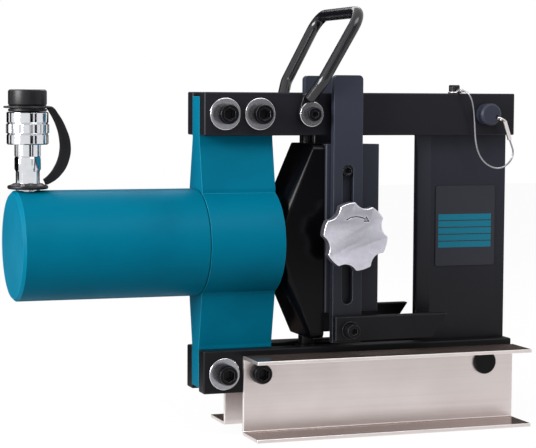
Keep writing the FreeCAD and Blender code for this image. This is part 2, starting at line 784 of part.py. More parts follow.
spring_inner = "sizes.rod_diameter / 2 + sizes.running_gap"
turned_on_axis("return_spring", [
    ("0", spring_inner),
    (spring_room, spring_inner),
    (spring_room, spring_inner + " + sizes.spring_wire"),
    ("0", spring_inner + " + sizes.spring_wire"),
], "places.piston_right + sizes.free_clearance")
wiper_inner = "sizes.rod_diameter / 2 + sizes.pin_clearance"
wiper_outer = "sizes.rod_diameter / 2 + sizes.gland_section - sizes.pin_clearance"
turned_on_axis("rod_wiper", [
    ("0", wiper_inner),
    ("sizes.gland_section", wiper_inner),
    ("sizes.gland_section", wiper_outer),
    ("0", wiper_outer),
], "places.head_right - sizes.gland_section")


# Ram head: a casting that spreads from a boss on the rod to the full height of the female die.
def ram_head():
    body = new_body("ram_head")
    half_depth = "sizes.fan_plate_depth / 2"
    small = new_sketch(body, "YZ_Plane")
    rounded_rectangle(small, half_depth, "sizes.fan_radius", "sizes.fan_corner")
    large = new_sketch(body, "YZ_Plane", "sizes.fan_length")
    rounded_rectangle(large, half_depth, "places.fan_plate_height / 2", "sizes.fan_plate_corner")
    loft = body.newObject("PartDesign::AdditiveLoft", "ram_head_fan")
    loft.Profile = small
    loft.Sections = [large]
    loft.Ruled = True
    doc.recompute()
    flange = new_sketch(body, "YZ_Plane", "sizes.fan_length")
    rounded_rectangle(flange, half_depth, "places.fan_plate_height / 2", "sizes.fan_plate_corner")
    pad(body, flange, "sizes.fan_plate_length")
    socket = new_sketch(body, "YZ_Plane")
    circle(socket, "0", "0", "sizes.spigot_diameter + 2 * sizes.pin_clearance")
    pocket(body, socket, "sizes.spigot_length + sizes.free_clearance", reverse=True)
    return finished(put(body, "places.fan_left", "0", "places.axis_height"))


ram_head()


# Guide posts: a round neck on the ram head carries a shoe that slides in the gap between the bars.
def guide_post_pattern():
    body = new_body("guide_post_pattern")
    neck = new_sketch(body, "XY_Plane")
    circle(neck, "0", "0", "sizes.post_diameter")
    pad(body, neck, "sizes.shoe_lift_height")
    shoe = new_sketch(body, "XY_Plane", "sizes.shoe_lift_height")
    half_gap = "places.bar_inner - sizes.slide_clearance"
    half_width = "sizes.post_diameter / 2"
    rectangle(shoe, "-(%s)" % half_width, half_width, "-(%s)" % half_gap, half_gap)
    pad(body, shoe, "sizes.shoe_height")
    soften(body, "Fillet", "sizes.pin_edge", lambda edge, middle: along(edge, "z"))
    return body


placed("guide_posts", guide_post_pattern(), [
    ("places.post_x", "0", "places.fan_top", AS_MADE),
    ("places.post_x", "0", "places.fan_bottom", UPSIDE_DOWN),
])


# Female die: a block with a V groove along its full height, open towards the column.
def vee_die():
    body = new_body("vee_die")
    sketch = new_sketch(body, "XY_Plane")
    right = "sizes.vee_length"
    side = "places.vee_side"
    mouth = "places.vee_mouth / 2"
    outline(sketch, [
        ("0", "-" + side),
        (right, "-" + side),
        (right, "-" + mouth),
        ("places.vee_apex - places.vee_left", "0"),
        (right, mouth),
        (right, side),
        ("0", side),
    ])
    pad(body, sketch, "places.vee_height")
    apex = amount("places.vee_apex - places.vee_left")
    soften(body, "Fillet", "sizes.vee_root_radius",
           lambda edge, middle: along(edge, "z") and near(middle.x, apex))
    soften(body, "Chamfer", "sizes.bar_edge",
           lambda edge, middle: along(edge, "z") and near(abs(middle.y), amount("places.vee_side")))
    holes = new_sketch(body, "XZ_Plane")
    hole_x = "places.slot_x - places.vee_left"
    circle(holes, hole_x, "places.guide_height - places.vee_bottom", screw_hole)
    bore = "sizes.clamp_bolt_diameter + 2 * sizes.pin_clearance"
    circle(holes, hole_x, "places.knob_height - places.vee_bottom", bore)
    pocket(body, holes, both_ways=True)
    return finished(put(body, "places.vee_left", "0", "places.vee_bottom"))


vee_die()


# Die column: a thick plate with a blunt wedge nose, held by a pin in each pair of bars.
def die_column():
    body = new_body("die_column")
    half = "sizes.column_thickness / 2"
    right = "places.column_right - places.nose_sharp"
    back = "places.nose_back - places.nose_sharp"
    profile = new_sketch(body, "XY_Plane", "-sizes.column_overlap")
    outline(profile, [("0", "0"), (back, "-" + half), (right, "-" + half), (right, half), (back, half)])
    pad(body, profile, "sizes.bar_opening + 2 * sizes.column_overlap")
    soften(body, "Fillet", "sizes.nose_radius", lambda edge, middle: along(edge, "z") and near(middle.x, 0))
    lug = new_sketch(body, "XZ_Plane")
    reach = "sizes.bar_height - sizes.ear_inset"
    rectangle(lug, right + " - sizes.column_lug_width", right, "-(%s)" % reach, "sizes.bar_opening + " + reach)
    pad(body, lug, "sizes.column_thickness", both_ways=True)
    bores = new_sketch(body, "XZ_Plane")
    for z in ("places.lower_hole_height", "places.upper_bar_middle"):
        circle(bores, "places.pin_x - places.nose_sharp", "%s - places.lower_bar_top" % z, pin_bore)
    pocket(body, bores, both_ways=True)
    return finished(put(body, "places.nose_sharp", "0", "places.lower_bar_top"))


die_column()


# Bare data plate on the operator's side of the column.
def data_plate():
    body = new_body("data_plate")
    sketch = new_sketch(body, "XZ_Plane")
    rounded_rectangle(sketch, "sizes.plate_length / 2", "sizes.plate_height / 2", "sizes.plate_corner")
    pad(body, sketch, "sizes.plate_thickness")
    return finished(put(body, "places.plate_x", "-sizes.column_thickness / 2", "places.plate_z"))


data_plate()


# Pins through the column. Each outline runs in distance from the axis and in Y, from the front end.
def turned_along_y(name, points):
    body = new_body(name)
    sketch = new_sketch(body, "XY_Plane")
    outline(sketch, points)
    turn(body, sketch, "V_Axis")
    return body


pin_radius = "sizes.pin_diameter / 2"
pin_length = "2 * places.pin_front"
pin_blank = turned_along_y("release_pin_blank", [
    ("0", "0"),
    (pin_radius + " - sizes.pin_edge", "0"),
    (pin_radius, "sizes.pin_edge"),
    (pin_radius, pin_length + " - sizes.pin_edge"),
    (pin_radius + " - sizes.pin_edge", pin_length),
    ("0", pin_length),
])
put(pin_blank, "places.pin_x", "-places.pin_front", "places.upper_bar_middle")


# The lanyard's eye runs through a hole from the pin's end face to its side, at its lower right rim.
EYE_ANGLE_DEGREES = -25
eye_out = Vector(math.cos(math.radians(EYE_ANGLE_DEGREES)), 0, math.sin(math.radians(EYE_ANGLE_DEGREES)))
pin_rim = Vector(amount("places.pin_x"), -amount("places.pin_front"), amount("places.upper_bar_middle"))
pin_rim += eye_out * amount(pin_radius)
eye_normal = eye_out.cross(Vector(0, 1, 0))
eye_tilt = FreeCAD.Rotation(Vector(0, 0, 1), eye_normal)


def ring(label, section_radius):
    # A ring of round section, the size of the lanyard's eye at the release pin.
    torus = doc.addObject("Part::Torus", label)
    torus.setExpression("Radius1", "sizes.pin_hole_from_end - sizes.pin_edge")
    torus.setExpression("Radius2", section_radius)
    torus.Placement = FreeCAD.Placement(pin_rim, eye_tilt)
    return torus


release_pin = doc.addObject("Part::Cut", "release_pin")
release_pin.Label = "release_pin"
release_pin.Base = pin_blank
release_pin.Tool = ring("eye_hole", "sizes.pin_hole / 2")
finished(release_pin)

pivot_reach = "places.foot_face + sizes.pivot_head + sizes.nut_height / 2"
clip_front = "2 * places.foot_face + sizes.pivot_head + sizes.free_clearance"
clip_floor = pin_radius + " - sizes.pin_edge"
clip_back = "(%s) + sizes.washer_thickness" % clip_front
pivot_length = "(%s) + sizes.washer_thickness" % clip_back
pivot_pin = turned_along_y("pivot_pin", [
    ("0", "0"),
    ("sizes.pivot_head_diameter / 2 - sizes.bar_edge", "0"),
    ("sizes.pivot_head_diameter / 2", "sizes.bar_edge"),
    ("sizes.pivot_head_diameter / 2", "sizes.pivot_head"),
    (pin_radius, "sizes.pivot_head"),
    (pin_radius, clip_front),
    (clip_floor, clip_front),
    (clip_floor, clip_back),
    (pin_radius, clip_back),
    (pin_radius, "(%s) - sizes.bar_edge" % pivot_length),
    (pin_radius + " - sizes.bar_edge", pivot_length),
    ("0", pivot_length),
])
pivot_front = "-places.foot_face - sizes.pivot_head"
finished(put(pivot_pin, "places.pin_x", pivot_front, "places.lower_hole_height"))
clip_inner = "(%s) * 2 + 2 * sizes.pin_clearance" % clip_floor
clip_thickness = "sizes.washer_thickness - 2 * sizes.slide_clearance"
pivot_clip = ring_body("pivot_clip", "sizes.pivot_head_diameter", clip_inner, clip_thickness)
clip_y = "%s + %s + sizes.slide_clearance" % (pivot_front, clip_front)
finished(put(pivot_clip, "places.pin_x", clip_y, "places.lower_hole_height"))


# Bolts through the bars and the head block, with washers in front and washers and nuts behind.
upper_z = "places.upper_bar_middle"
lower_z = "places.lower_hole_height"
washer_face = "places.bar_outer + sizes.washer_thickness"
head_bolt_length = "2 * (%s) + sizes.nut_height + sizes.overrun" % washer_face
head_bolt_pattern = bolt_body(
    "head_bolt_pattern",
    "sizes.bolt_diameter",
    "sizes.bolt_head_diameter",
    "sizes.bolt_head_height",
    head_bolt_length,
    "sizes.bolt_socket",
)
bar_spots = [
    ("places.first_bolt_x", upper_z),
    ("places.second_bolt_x", upper_z),
    ("places.first_bolt_x", lower_z),
]
foot_spot = ("places.second_bolt_x", lower_z)
placed("head_bolts", head_bolt_pattern, [(x, "-(%s)" % washer_face, z, AS_MADE) for x, z in bar_spots])
foot_bolt = bolt_body(
    "foot_bolt",
    "sizes.bolt_diameter",
    "sizes.bolt_head_diameter",
    "sizes.bolt_head_height",
    "2 * places.foot_face + sizes.nut_height + sizes.overrun",
    "sizes.bolt_socket",
)
finished(put(foot_bolt, foot_spot[0], "-places.foot_face", foot_spot[1]))
washer_pattern = ring_body("washer_pattern", "sizes.washer_diameter", bolt_hole, "sizes.washer_thickness")
front_washers = [(x, "-(%s)" % washer_face, z, AS_MADE) for x, z in bar_spots]
rear_washers = [(x, "places.bar_outer", z, AS_MADE) for x, z in bar_spots]
placed("head_washers", washer_pattern, front_washers + rear_washers)
nut_pattern = new_body("nut_pattern")
nut_sketch = new_sketch(nut_pattern, "XZ_Plane")
hexagon(nut_sketch, "0", "0", "sizes.nut_width")
circle(nut_sketch, "0", "0", bolt_hole)
pad(nut_pattern, nut_sketch, "sizes.nut_height", reverse=True)
nut_spots = [(x, washer_face, z, AS_MADE) for x, z in bar_spots]
placed("head_nuts", nut_pattern, nut_spots + [(foot_spot[0], "places.foot_face", foot_spot[1], AS_MADE)])


# Sheet supports: a slotted plate on each side of the female die carries an arm under the sheet's edge.
def support_plate(label, y):
    body = new_body(label)
    sketch = new_sketch(body, "XZ_Plane")
    right = "places.support_left + sizes.support_width"
    rectangle(sketch, "places.support_left", right, "places.support_bottom", "places.support_top")
    slot(sketch, "places.slot_x", "places.slot_bottom", "places.slot_top", "sizes.slot_width")
    circle(sketch, "places.slot_x", "places.arm_screw_z", screw_hole)
    pad(body, sketch, "sizes.support_thickness")
    top = amount("places.support_top")
    soften(body, "Fillet", "sizes.support_corner",
           lambda edge, middle: along(edge, "y") and near(middle.z, top))
    return finished(put(body, "0", y))


def support_arm(label, y):
    body = new_body(label)
    sketch = new_sketch(body, "XZ_Plane")
    left = "places.support_left"
    tip = left + " + sizes.arm_length"
    bottom = "places.arm_top - sizes.arm_height"
    outline(sketch, [
        (left, bottom),
        (tip + " - sizes.arm_undercut_length", bottom),
        (tip, "places.arm_top"),
        (left, "places.arm_top"),
    ])
    circle(sketch, "places.slot_x", "places.arm_screw_z", screw_hole)
    pad(body, sketch, "sizes.arm_thickness")
    soften(body, "Chamfer", "sizes.bar_edge", lambda edge, middle: is_line(edge))
    return finished(put(body, "0", y))


support_plate("support_plate_front", "-places.support_inner")
support_plate("support_plate_rear", "places.support_outer")
support_arm("support_arm_front", "-places.support_outer")
support_arm("support_arm_rear", "places.arm_outer")

small_washer = "sizes.screw_diameter * 2"
arm_washer_pattern = ring_body("arm_washer_pattern", small_washer, screw_hole, "sizes.handle_washer_thickness")
arm_screw_seat = "places.arm_outer + sizes.handle_washer_thickness"
arm_screw_pattern = bolt_body(
    "arm_screw_pattern",
    "sizes.screw_diameter",
    "sizes.screw_head_diameter",
    "sizes.screw_head_height",
    "%s - places.support_inner - sizes.free_clearance" % arm_screw_seat,
    "sizes.screw_socket",
)
for side, sign, rotation in (("front", "-", AS_MADE), ("rear", "", TURNED_ROUND)):
    seat_y = "%s(%s)" % (sign, arm_screw_seat)
    washer_y = seat_y
    placed("arm_screw_" + side, arm_screw_pattern, [("places.slot_x", seat_y, "places.arm_screw_z", rotation)])
    placed("arm_washer_" + side, arm_washer_pattern, [("places.slot_x", washer_y, "places.arm_screw_z", rotation)])

guide_screw_pattern = bolt_body(
    "guide_screw_pattern",
    "sizes.screw_diameter",
    "places.guide_head",
    "sizes.support_thickness",
    "sizes.screw_bite",
    "sizes.screw_socket",
)
placed("guide_screws", guide_screw_pattern, [
    ("places.slot_x", "-places.vee_side", "places.guide_height", AS_MADE),
    ("places.slot_x", "places.vee_side", "places.guide_height", TURNED_ROUND),
])


# Clamp bolt: its hexagon head bears on the rear plate and its end carries the star knob in front.
def clamp_bolt():
    body = new_body("clamp_bolt")
    head = new_sketch(body, "XZ_Plane")
    hexagon(head, "0", "0", "sizes.clamp_head_width")
    pad(body, head, "sizes.clamp_head_height", reverse=True)
    shank = new_sketch(body, "XZ_Plane")
    circle(shank, "0", "0", "sizes.clamp_bolt_diameter")
    seat = "places.support_outer + sizes.handle_washer_thickness"
    pad(body, shank, "%s + places.knob_back + sizes.clamp_bolt_reach" % seat)
    return finished(put(body, "places.slot_x", seat, "places.knob_height"))


clamp_bolt()
clamp_bore = "sizes.clamp_bolt_diameter + 2 * sizes.pin_clearance"
clamp_washer_pattern = ring_body(
    "clamp_washer_pattern", "sizes.handle_washer_diameter", clamp_bore, "sizes.handle_washer_thickness"
)
clamp_washer_front = "-places.support_outer - sizes.handle_washer_thickness"
placed("clamp_washers", clamp_washer_pattern, [
    ("places.slot_x", clamp_washer_front, "places.knob_height", AS_MADE),
    ("places.slot_x", "places.support_outer", "places.knob_height", AS_MADE),
])


# Star knob: a round disc scalloped between its lobes, on a short boss.
def clamp_knob():
    body = new_body("clamp_knob")
    disc = new_sketch(body, "XZ_Plane", "sizes.knob_boss")
    circle(disc, "0", "0", "sizes.knob_diameter")
    pad(body, disc, "sizes.knob_disc")
    valley = new_sketch(body, "XZ_Plane", "sizes.knob_boss + sizes.knob_disc")
    away = "(sizes.knob_diameter / 2 + sizes.knob_valley_radius / 2)"
    angle = "(sizes.knob_turn_degrees - 180 / sizes.knob_lobe_count) * 1deg"
    valley_x = "%s * cos(%s)" % (away, angle)
    valley_z = "%s * sin(%s)" % (away, angle)
    circle(valley, valley_x, valley_z, "2 * sizes.knob_valley_radius")
    cut = pocket(body, valley)
    pattern = body.newObject("PartDesign::PolarPattern", "clamp_knob_lobes")
    pattern.Originals = [cut]
    axis = [feature for feature in body.Origin.OriginFeatures if feature.Role == "Y_Axis"][0]
    pattern.Axis = (axis, [""])
    pattern.Angle = 360
    pattern.setExpression("Occurrences", "sizes.knob_lobe_count")
    body.Tip = pattern
    doc.recompute()
    soften(body, "Fillet", "sizes.knob_boss", lambda edge, middle: along(edge, "y"))
    front = -amount("sizes.knob_boss + sizes.knob_disc")
    soften(body, "Fillet", "sizes.knob_round", lambda edge, middle: near(middle.y, front))
    boss = new_sketch(body, "XZ_Plane")
    circle(boss, "0", "0", "sizes.knob_boss_diameter")
    pad(body, boss, "sizes.knob_boss + sizes.knob_round")
    bore = new_sketch(body, "XZ_Plane")
    circle(bore, "0", "0", clamp_bore)
    pocket(body, bore, "sizes.clamp_bolt_reach + sizes.free_clearance", reverse=True)
    return finished(put(body, "places.slot_x", "-places.knob_back", "places.knob_height"))


clamp_knob()


# Round bars, straps and wires that follow a route of straight runs joined by tangent arcs.
def rounded_route(points, radii):
    # Edges of the route: radii has one value for each inner point.
    edges = []
    here = points[0]
    for index, radius in enumerate(radii, start=1):
        corner = points[index]
        inward = (points[index - 1] - corner).normalize()
        outward = (points[index + 1] - corner).normalize()
        half_turn = (math.pi - inward.getAngle(outward)) / 2
        reach = radius * math.tan(half_turn)
        start = corner + inward * reach
        finish = corner + outward * reach
        bisector = (inward + outward).normalize()
        middle = corner + bisector * (radius / math.cos(half_turn) - radius)
        edges.append(Part.LineSegment(here, start).toShape())
        edges.append(Part.Arc(start, middle, finish).toShape())
        here = finish
    edges.append(Part.LineSegment(here, points[-1]).toShape())
    return edges


def round_bar(points, radii, diameter):
    # A solid of round section along the route.
    path = Part.Wire(rounded_route(points, radii))
    start_circle = Part.Circle(points[0], points[1] - points[0], diameter / 2)
    profile = Part.Wire([start_circle.toShape()])
    return path, path.makePipeShell([profile], True, False)


def computed(label, shape):
    # A sub-part whose shape is worked out here from the sheet.
    item = doc.addObject("Part::Feature", label)
    item.Label = label
    item.Shape = shape
    item.Placement = FreeCAD.Placement()
    return finished(item)


def hull_plate(first, first_radius, second, second_radius, thickness):
    # The plate around two discs that lie in one plane square to Y, reaching from them along -Y.
    between = second - first
    distance = between.Length
    lean = math.atan2(between.z, between.x)
    spread = math.acos((first_radius - second_radius) / distance)
    tangents = []
    for side in (1, -1):
        direction = Vector(math.cos(lean + side * spread), 0, math.sin(lean + side * spread))
        tangents.append((first + direction * first_radius, second + direction * second_radius))
    away = between / distance
    (first_left, second_left), (first_right, second_right) = tangents
    outline_edges = [
        Part.LineSegment(first_left, second_left).toShape(),
        Part.Arc(second_left, second + away * second_radius, second_right).toShape(),
        Part.LineSegment(second_right, first_right).toShape(),
        Part.Arc(first_right, first - away * first_radius, first_left).toShape(),
    ]
    return Part.Face(Part.Wire(outline_edges)).extrude(Vector(0, -thickness, 0))


# Carrying handle: one bent round bar whose flattened ends turn on bushes outside the upper bars.
def carry_handle():
    x = amount("places.handle_x")
    z = amount("places.upper_bar_middle")
    root_x = x - amount("sizes.handle_root_offset")
    root_z = z + amount("sizes.handle_root_height")
    half = [
        Vector(root_x, -amount("places.handle_root_y"), root_z),
        Vector(x + amount("sizes.handle_knee_offset"), -amount("places.handle_knee_y"),
               z + amount("sizes.handle_knee_height")),
        Vector(x + amount("sizes.handle_grip_offset"), -amount("places.handle_grip_y"),
               z + amount("sizes.handle_grip_height")),
    ]
    other_half = [Vector(point.x, -point.y, point.z) for point in reversed(half)]
    knee_radius = amount("sizes.handle_knee_radius")
    grip_radius = amount("sizes.handle_grip_radius")
    diameter = amount("sizes.handle_diameter")
    radii = [knee_radius, grip_radius, grip_radius, knee_radius]
    path, shape = round_bar(half + other_half, radii, diameter)
    bore_radius = amount("sizes.handle_bush_diameter") / 2 + amount("sizes.pin_clearance")
    thickness = amount("sizes.handle_eye_thickness")
    eye_radius = amount("sizes.handle_eye_diameter") / 2
    inner = amount("places.eye_inner")
    for near_face in (-inner, inner + thickness):
        eye = Vector(x, near_face, z)
        root = Vector(root_x, near_face, root_z)
        shape = shape.fuse(hull_plate(eye, eye_radius, root, diameter / 2, thickness))
        bore_start = eye + Vector(0, thickness, 0)
        bore = Part.makeCylinder(bore_radius, 3 * thickness, bore_start, Vector(0, -1, 0))
        shape = shape.cut(bore)
    washer_room = amount("sizes.handle_washer_diameter / 2 + sizes.free_clearance")
    for side in (-1, 1):
        face = Vector(x, side * (inner + thickness), z)
        shape = shape.cut(Part.makeCylinder(washer_room, 2 * thickness, face, Vector(0, side, 0)))
    return computed("carry_handle", shape.removeSplitter())


carry_handle()
bush_pattern = ring_body(
    "bush_pattern", "sizes.handle_bush_diameter", screw_hole, "places.bush_end - places.bar_outer"
)
placed("handle_bushes", bush_pattern, [
    ("places.handle_x", "-places.bush_end", upper_z, AS_MADE),
    ("places.handle_x", "places.bar_outer", upper_z, AS_MADE),
])
handle_washer_pattern = ring_body(
    "handle_washer_pattern", "sizes.handle_washer_diameter", screw_hole, "sizes.handle_washer_thickness"
)
handle_seat = "places.bush_end + sizes.handle_washer_thickness"
placed("handle_washers", handle_washer_pattern, [
    ("places.handle_x", "-(%s)" % handle_seat, upper_z, AS_MADE),
    ("places.handle_x", "places.bush_end", upper_z, AS_MADE),
])
handle_screw_pattern = bolt_body(
    "handle_screw_pattern",
    "sizes.screw_diameter",
    "sizes.screw_head_diameter",
    "sizes.screw_head_height",
    "%s - places.bar_outer + sizes.screw_bite" % handle_seat,
    "sizes.screw_socket",
)
placed("handle_screws", handle_screw_pattern, [
    ("places.handle_x", "-(%s)" % handle_seat, upper_z, AS_MADE),
    ("places.handle_x", handle_seat, upper_z, TURNED_ROUND),
])


# Turned pieces of the coupler. Each outline runs in distance from the upright axis and in height.
def turned_upright(label, points):
    body = new_body(label)
    sketch = new_sketch(body, "XZ_Plane")
    outline(sketch, points)
    turn(body, sketch, "V_Axis")
    return body


def coupler_body():
    stem = "sizes.port_diameter / 2 - sizes.pin_clearance"
    oilway = "sizes.oilway_diameter / 2"
    neck = "sizes.neck_diameter / 2"
    nose = "places.collar_bore / 2 - sizes.pin_clearance"
    shoulder = "sizes.neck_height + sizes.coupler_hex_height + sizes.coupler_body_height"
    nose_top = shoulder + " + sizes.collar_height - sizes.cap_edge"
    bore = "sizes.coupler_bore / 2"
    body = turned_upright("coupler_body", [
        (oilway, "-sizes.port_depth"),
        (stem, "-sizes.port_depth"),
        (stem, "0"),
        (neck, "0"),
        (neck, shoulder + " - sizes.free_clearance"),
        (nose, shoulder + " - sizes.free_clearance"),
        (nose, nose_top),
        (bore, nose_top),
        (bore, nose_top + " - sizes.coupler_bore_depth"),
        (oilway, nose_top + " - sizes.coupler_bore_depth"),
    ])
    flats = new_sketch(body, "XY_Plane", "sizes.neck_height")
    turn_angle = amount("sizes.coupler_hex_turn_degrees")
    flats.AttachmentOffset = FreeCAD.Placement(Vector(), FreeCAD.Rotation(Vector(0, 0, 1), turn_angle))
    flats.setExpression("AttachmentOffset.Base.z", "sizes.neck_height")
    circle(flats, "0", "0", "sizes.neck_diameter + sizes.overrun")
    hexagon(flats, "0", "0", "sizes.coupler_hex")
    pocket(body, flats, "sizes.coupler_hex_height", reverse=True)
    return finished(put(body, "places.port_x", "0", "places.barrel_top"))


coupler_body()


# Poppet that closes the coupler's bore while nothing is plugged in.
def coupler_poppet():
    radius = "sizes.coupler_bore / 2 - sizes.slide_clearance"
    bore = "sizes.poppet_diameter / 2"
    seat = "sizes.poppet_diameter / 4"
    body = turned_upright("coupler_poppet", [
        ("0", "0"),
        (radius, "0"),
        (radius, seat),
        (bore, seat + " + " + bore + " / 2"),
        ("0", seat + " + " + bore),
    ])
    floor = "places.collar_top - sizes.cap_edge - sizes.coupler_bore_depth"
    return finished(put(body, "places.port_x", "0", floor))


coupler_poppet()


# Collar: three bands with grooves between them. The middle band stands proud in ribs for the fingers.
def coupler_collar():
    outer = "sizes.collar_diameter / 2"
    rib = outer + " + sizes.collar_rib_height"
    inner = "places.collar_bore / 2"
    dip = "sizes.collar_band_groove"
    levels = ["0", "sizes.collar_band", "2 * sizes.collar_band", "sizes.collar_height"]
    points = [(inner, "0")]
    for low, high, radius in zip(levels, levels[1:], (outer, rib, outer)):
        points += [
            (outer + " - " + dip, low),
            (radius, low + " + " + dip),
            (radius, high + " - " + dip),
        ]
    points += [
        (outer + " - " + dip, "sizes.collar_height"),
        (inner, "sizes.collar_height"),
    ]
    body = turned_upright("coupler_collar", points)
    scallop = new_sketch(body, "XY_Plane", "sizes.collar_band")
    circle(scallop, outer + " + sizes.collar_scallop_radius", "0", "2 * sizes.collar_scallop_radius")
    cut = pocket(body, scallop, "sizes.collar_band", reverse=True)
    pattern = body.newObject("PartDesign::PolarPattern", "coupler_collar_grip")
    pattern.Originals = [cut]
    axis = [feature for feature in body.Origin.OriginFeatures if feature.Role == "Z_Axis"][0]
    pattern.Axis = (axis, [""])
    pattern.Angle = 360
    pattern.setExpression("Occurrences", "sizes.collar_scallop_count")
    body.Tip = pattern
    doc.recompute()
    return finished(put(body, "places.port_x", "0", "places.collar_bottom"))


coupler_collar()


# Dust cap: its plug fills the coupler's bore and its flange takes the loop of the strap.
def dust_cap():
    plug = "sizes.coupler_bore / 2 - sizes.free_clearance"
    radius = "sizes.cap_diameter / 2"
    flange = "sizes.cap_flange_diameter / 2"
    flange_top = "sizes.cap_step + sizes.cap_flange"
    top = flange_top + " + sizes.cap_height"
    body = turned_upright("dust_cap", [
        ("0", "-sizes.cap_plug_length"),
        (plug, "-sizes.cap_plug_length"),
        (plug, "0"),
        (radius, "0"),
        (radius, "sizes.cap_step"),
        (flange, "sizes.cap_step"),
        (flange, flange_top),
        (radius, flange_top),
        (radius, top + " - sizes.cap_edge"),
        (radius + " - sizes.cap_edge", top),
        ("0", top),
    ])
    return finished(put(body, "places.port_x", "0", "places.cap_bottom"))


dust_cap()


# The cap strap's centre line: shares of its bulge outwards and of its drop from the cap to the ring.
STRAP_SHARES = [(0.0, 0.0), (0.42, 0.12), (0.88, 0.29), (1.0, 0.47), (0.86, 0.66), (0.42, 0.82), (-0.3, 0.97)]
STRAP_ROUNDING_SHARE = 0.45


# Rubber ring on the coupler's neck, and the strap that ties the dust cap to it.
strap_ring = new_body("strap_ring")
strap_ring_sketch = new_sketch(strap_ring, "XY_Plane")
circle(strap_ring_sketch, "0", "0", "sizes.strap_ring_diameter")
circle(strap_ring_sketch, "0", "0", "sizes.neck_diameter + 2 * sizes.pin_clearance")
pad(strap_ring, strap_ring_sketch, "sizes.strap_ring_height")
finished(put(strap_ring, "places.port_x", "0", "places.strap_ring_bottom"))


def cap_strap():
    # A flat strip on edge: it leaves the cap's flange, bows outwards and comes back to the ring.
    x = amount("places.port_x")
    half_thickness = amount("sizes.strap_thickness") / 2
    half_width = amount("sizes.strap_width") / 2
    flange_radius = amount("sizes.cap_flange_diameter") / 2
    bulge = amount("sizes.strap_bulge")
    high = amount("places.cap_flange_bottom")
    low = amount("places.strap_ring_bottom + sizes.strap_ring_height")
    root = x + flange_radius - amount("sizes.strap_seat") / 2
    points = [
        Vector(root + bulge * outward, 0, high - (high - low) * downward)
        for outward, downward in STRAP_SHARES
    ]
    radii = []
    for before, corner, after in zip(points, points[1:], points[2:]):
        first = before - corner
        second = after - corner
        half_turn = (math.pi - first.getAngle(second)) / 2
        radii.append(STRAP_ROUNDING_SHARE * min(first.Length, second.Length) / math.tan(half_turn))
    path = Part.Wire(rounded_route(points, radii))
    ahead = (points[1] - points[0]).normalize()
    across = Vector(-ahead.z, 0, ahead.x)
    corners = [
        points[0] + across * (side * half_width) + Vector(0, face * half_thickness, 0)
        for side, face in ((-1, -1), (1, -1), (1, 1), (-1, 1), (-1, -1))
    ]
    strip = path.makePipeShell([Part.makePolygon(corners)], True, False)
    gap = amount("sizes.free_clearance")
    cap_room = Part.makeCylinder(flange_radius + gap, high, Vector(x, 0, amount("places.hex_top")))
    neck_room = Part.makeCylinder(amount("sizes.neck_diameter") / 2 + gap, high, Vector(x, 0, 0))
    ring_room = Part.makeCylinder(amount("sizes.strap_ring_diameter") / 2 + gap, low, Vector(x, 0, 0))
    for room in (cap_room, neck_room, ring_room):
        strip = strip.cut(room)
    return computed("cap_strap", strip)


cap_strap()


# Lanyard: the frame's end has an eye under a small screw, the other end an eye in the release pin.
lanyard_screw_pattern = bolt_body(
    "lanyard_screw_pattern",
    "sizes.lanyard_screw_diameter",
    "sizes.lanyard_screw_head",
    "sizes.lanyard_screw_head_height",
    "sizes.lanyard_screw_length",
    "sizes.lanyard_screw_socket",
)
screw_seat = "places.upper_bar_top + sizes.lanyard_wire_diameter"
placed("lanyard_screw", lanyard_screw_pattern, [
    ("places.lanyard_x", "places.lanyard_y", screw_seat, POINTING_DOWN),
])


def lanyard_end(label, centre, radius, rotation, start, direction, length):
    # A closed eye of wire with the ferrule that crimps it.
    wire_radius = amount("sizes.lanyard_wire_diameter") / 2
    eye = Part.makeTorus(radius, wire_radius)
    eye.Placement = FreeCAD.Placement(centre, rotation)
    ferrule = Part.makeCylinder(amount("sizes.ferrule_diameter") / 2, length, start, direction)
    return computed(label, eye.fuse(ferrule))


# The free wire runs through these points, chosen by hand, from ferrule to ferrule.
LANYARD_ROUTE = [
    Vector(180.5, -28.3, 305.2),
    Vector(181.9, -33.1, 305.2),
    Vector(185.4, -36.2, 299.6),
    Vector(188.8, -34.4, 290.0),
    Vector(191.2, -31.8, 279.5),
    Vector(192.6, -30.2, 269.0),
    Vector(193.9, -29.4, 258.5),
    Vector(197.0, -29.2, 247.5),
    Vector(204.0, -29.4, 238.6),
    Vector(214.0, -30.1, 234.2),
    Vector(223.4, -31.2, 235.8),
    Vector(229.6, -32.4, 242.6),
    Vector(230.9, -33.1, 250.2),
    Vector(228.2, -33.6, 256.2),
    Vector(226.1, -34.4, 261.2),
]

frame_eye_centre = Vector(
    amount("places.lanyard_x"),
    amount("places.lanyard_y"),
    amount("places.upper_bar_top + sizes.lanyard_wire_diameter / 2"),
)
to_frame_eye = frame_eye_centre - LANYARD_ROUTE[0]
to_frame_eye.z = 0
frame_ferrule_length = to_frame_eye.Length - amount("sizes.lanyard_screw_head / 2 + sizes.free_clearance")
lanyard_end("lanyard_frame_end", frame_eye_centre, amount("sizes.eye_radius"), FreeCAD.Rotation(),
            LANYARD_ROUTE[0], to_frame_eye, frame_ferrule_length)
pin_eye_radius = amount("sizes.pin_hole_from_end - sizes.pin_edge")
to_pin_eye = pin_rim + eye_out * pin_eye_radius - LANYARD_ROUTE[-1]
lanyard_end("lanyard_pin_end", pin_rim, pin_eye_radius, eye_tilt,
            LANYARD_ROUTE[-1], to_pin_eye, to_pin_eye.Length)


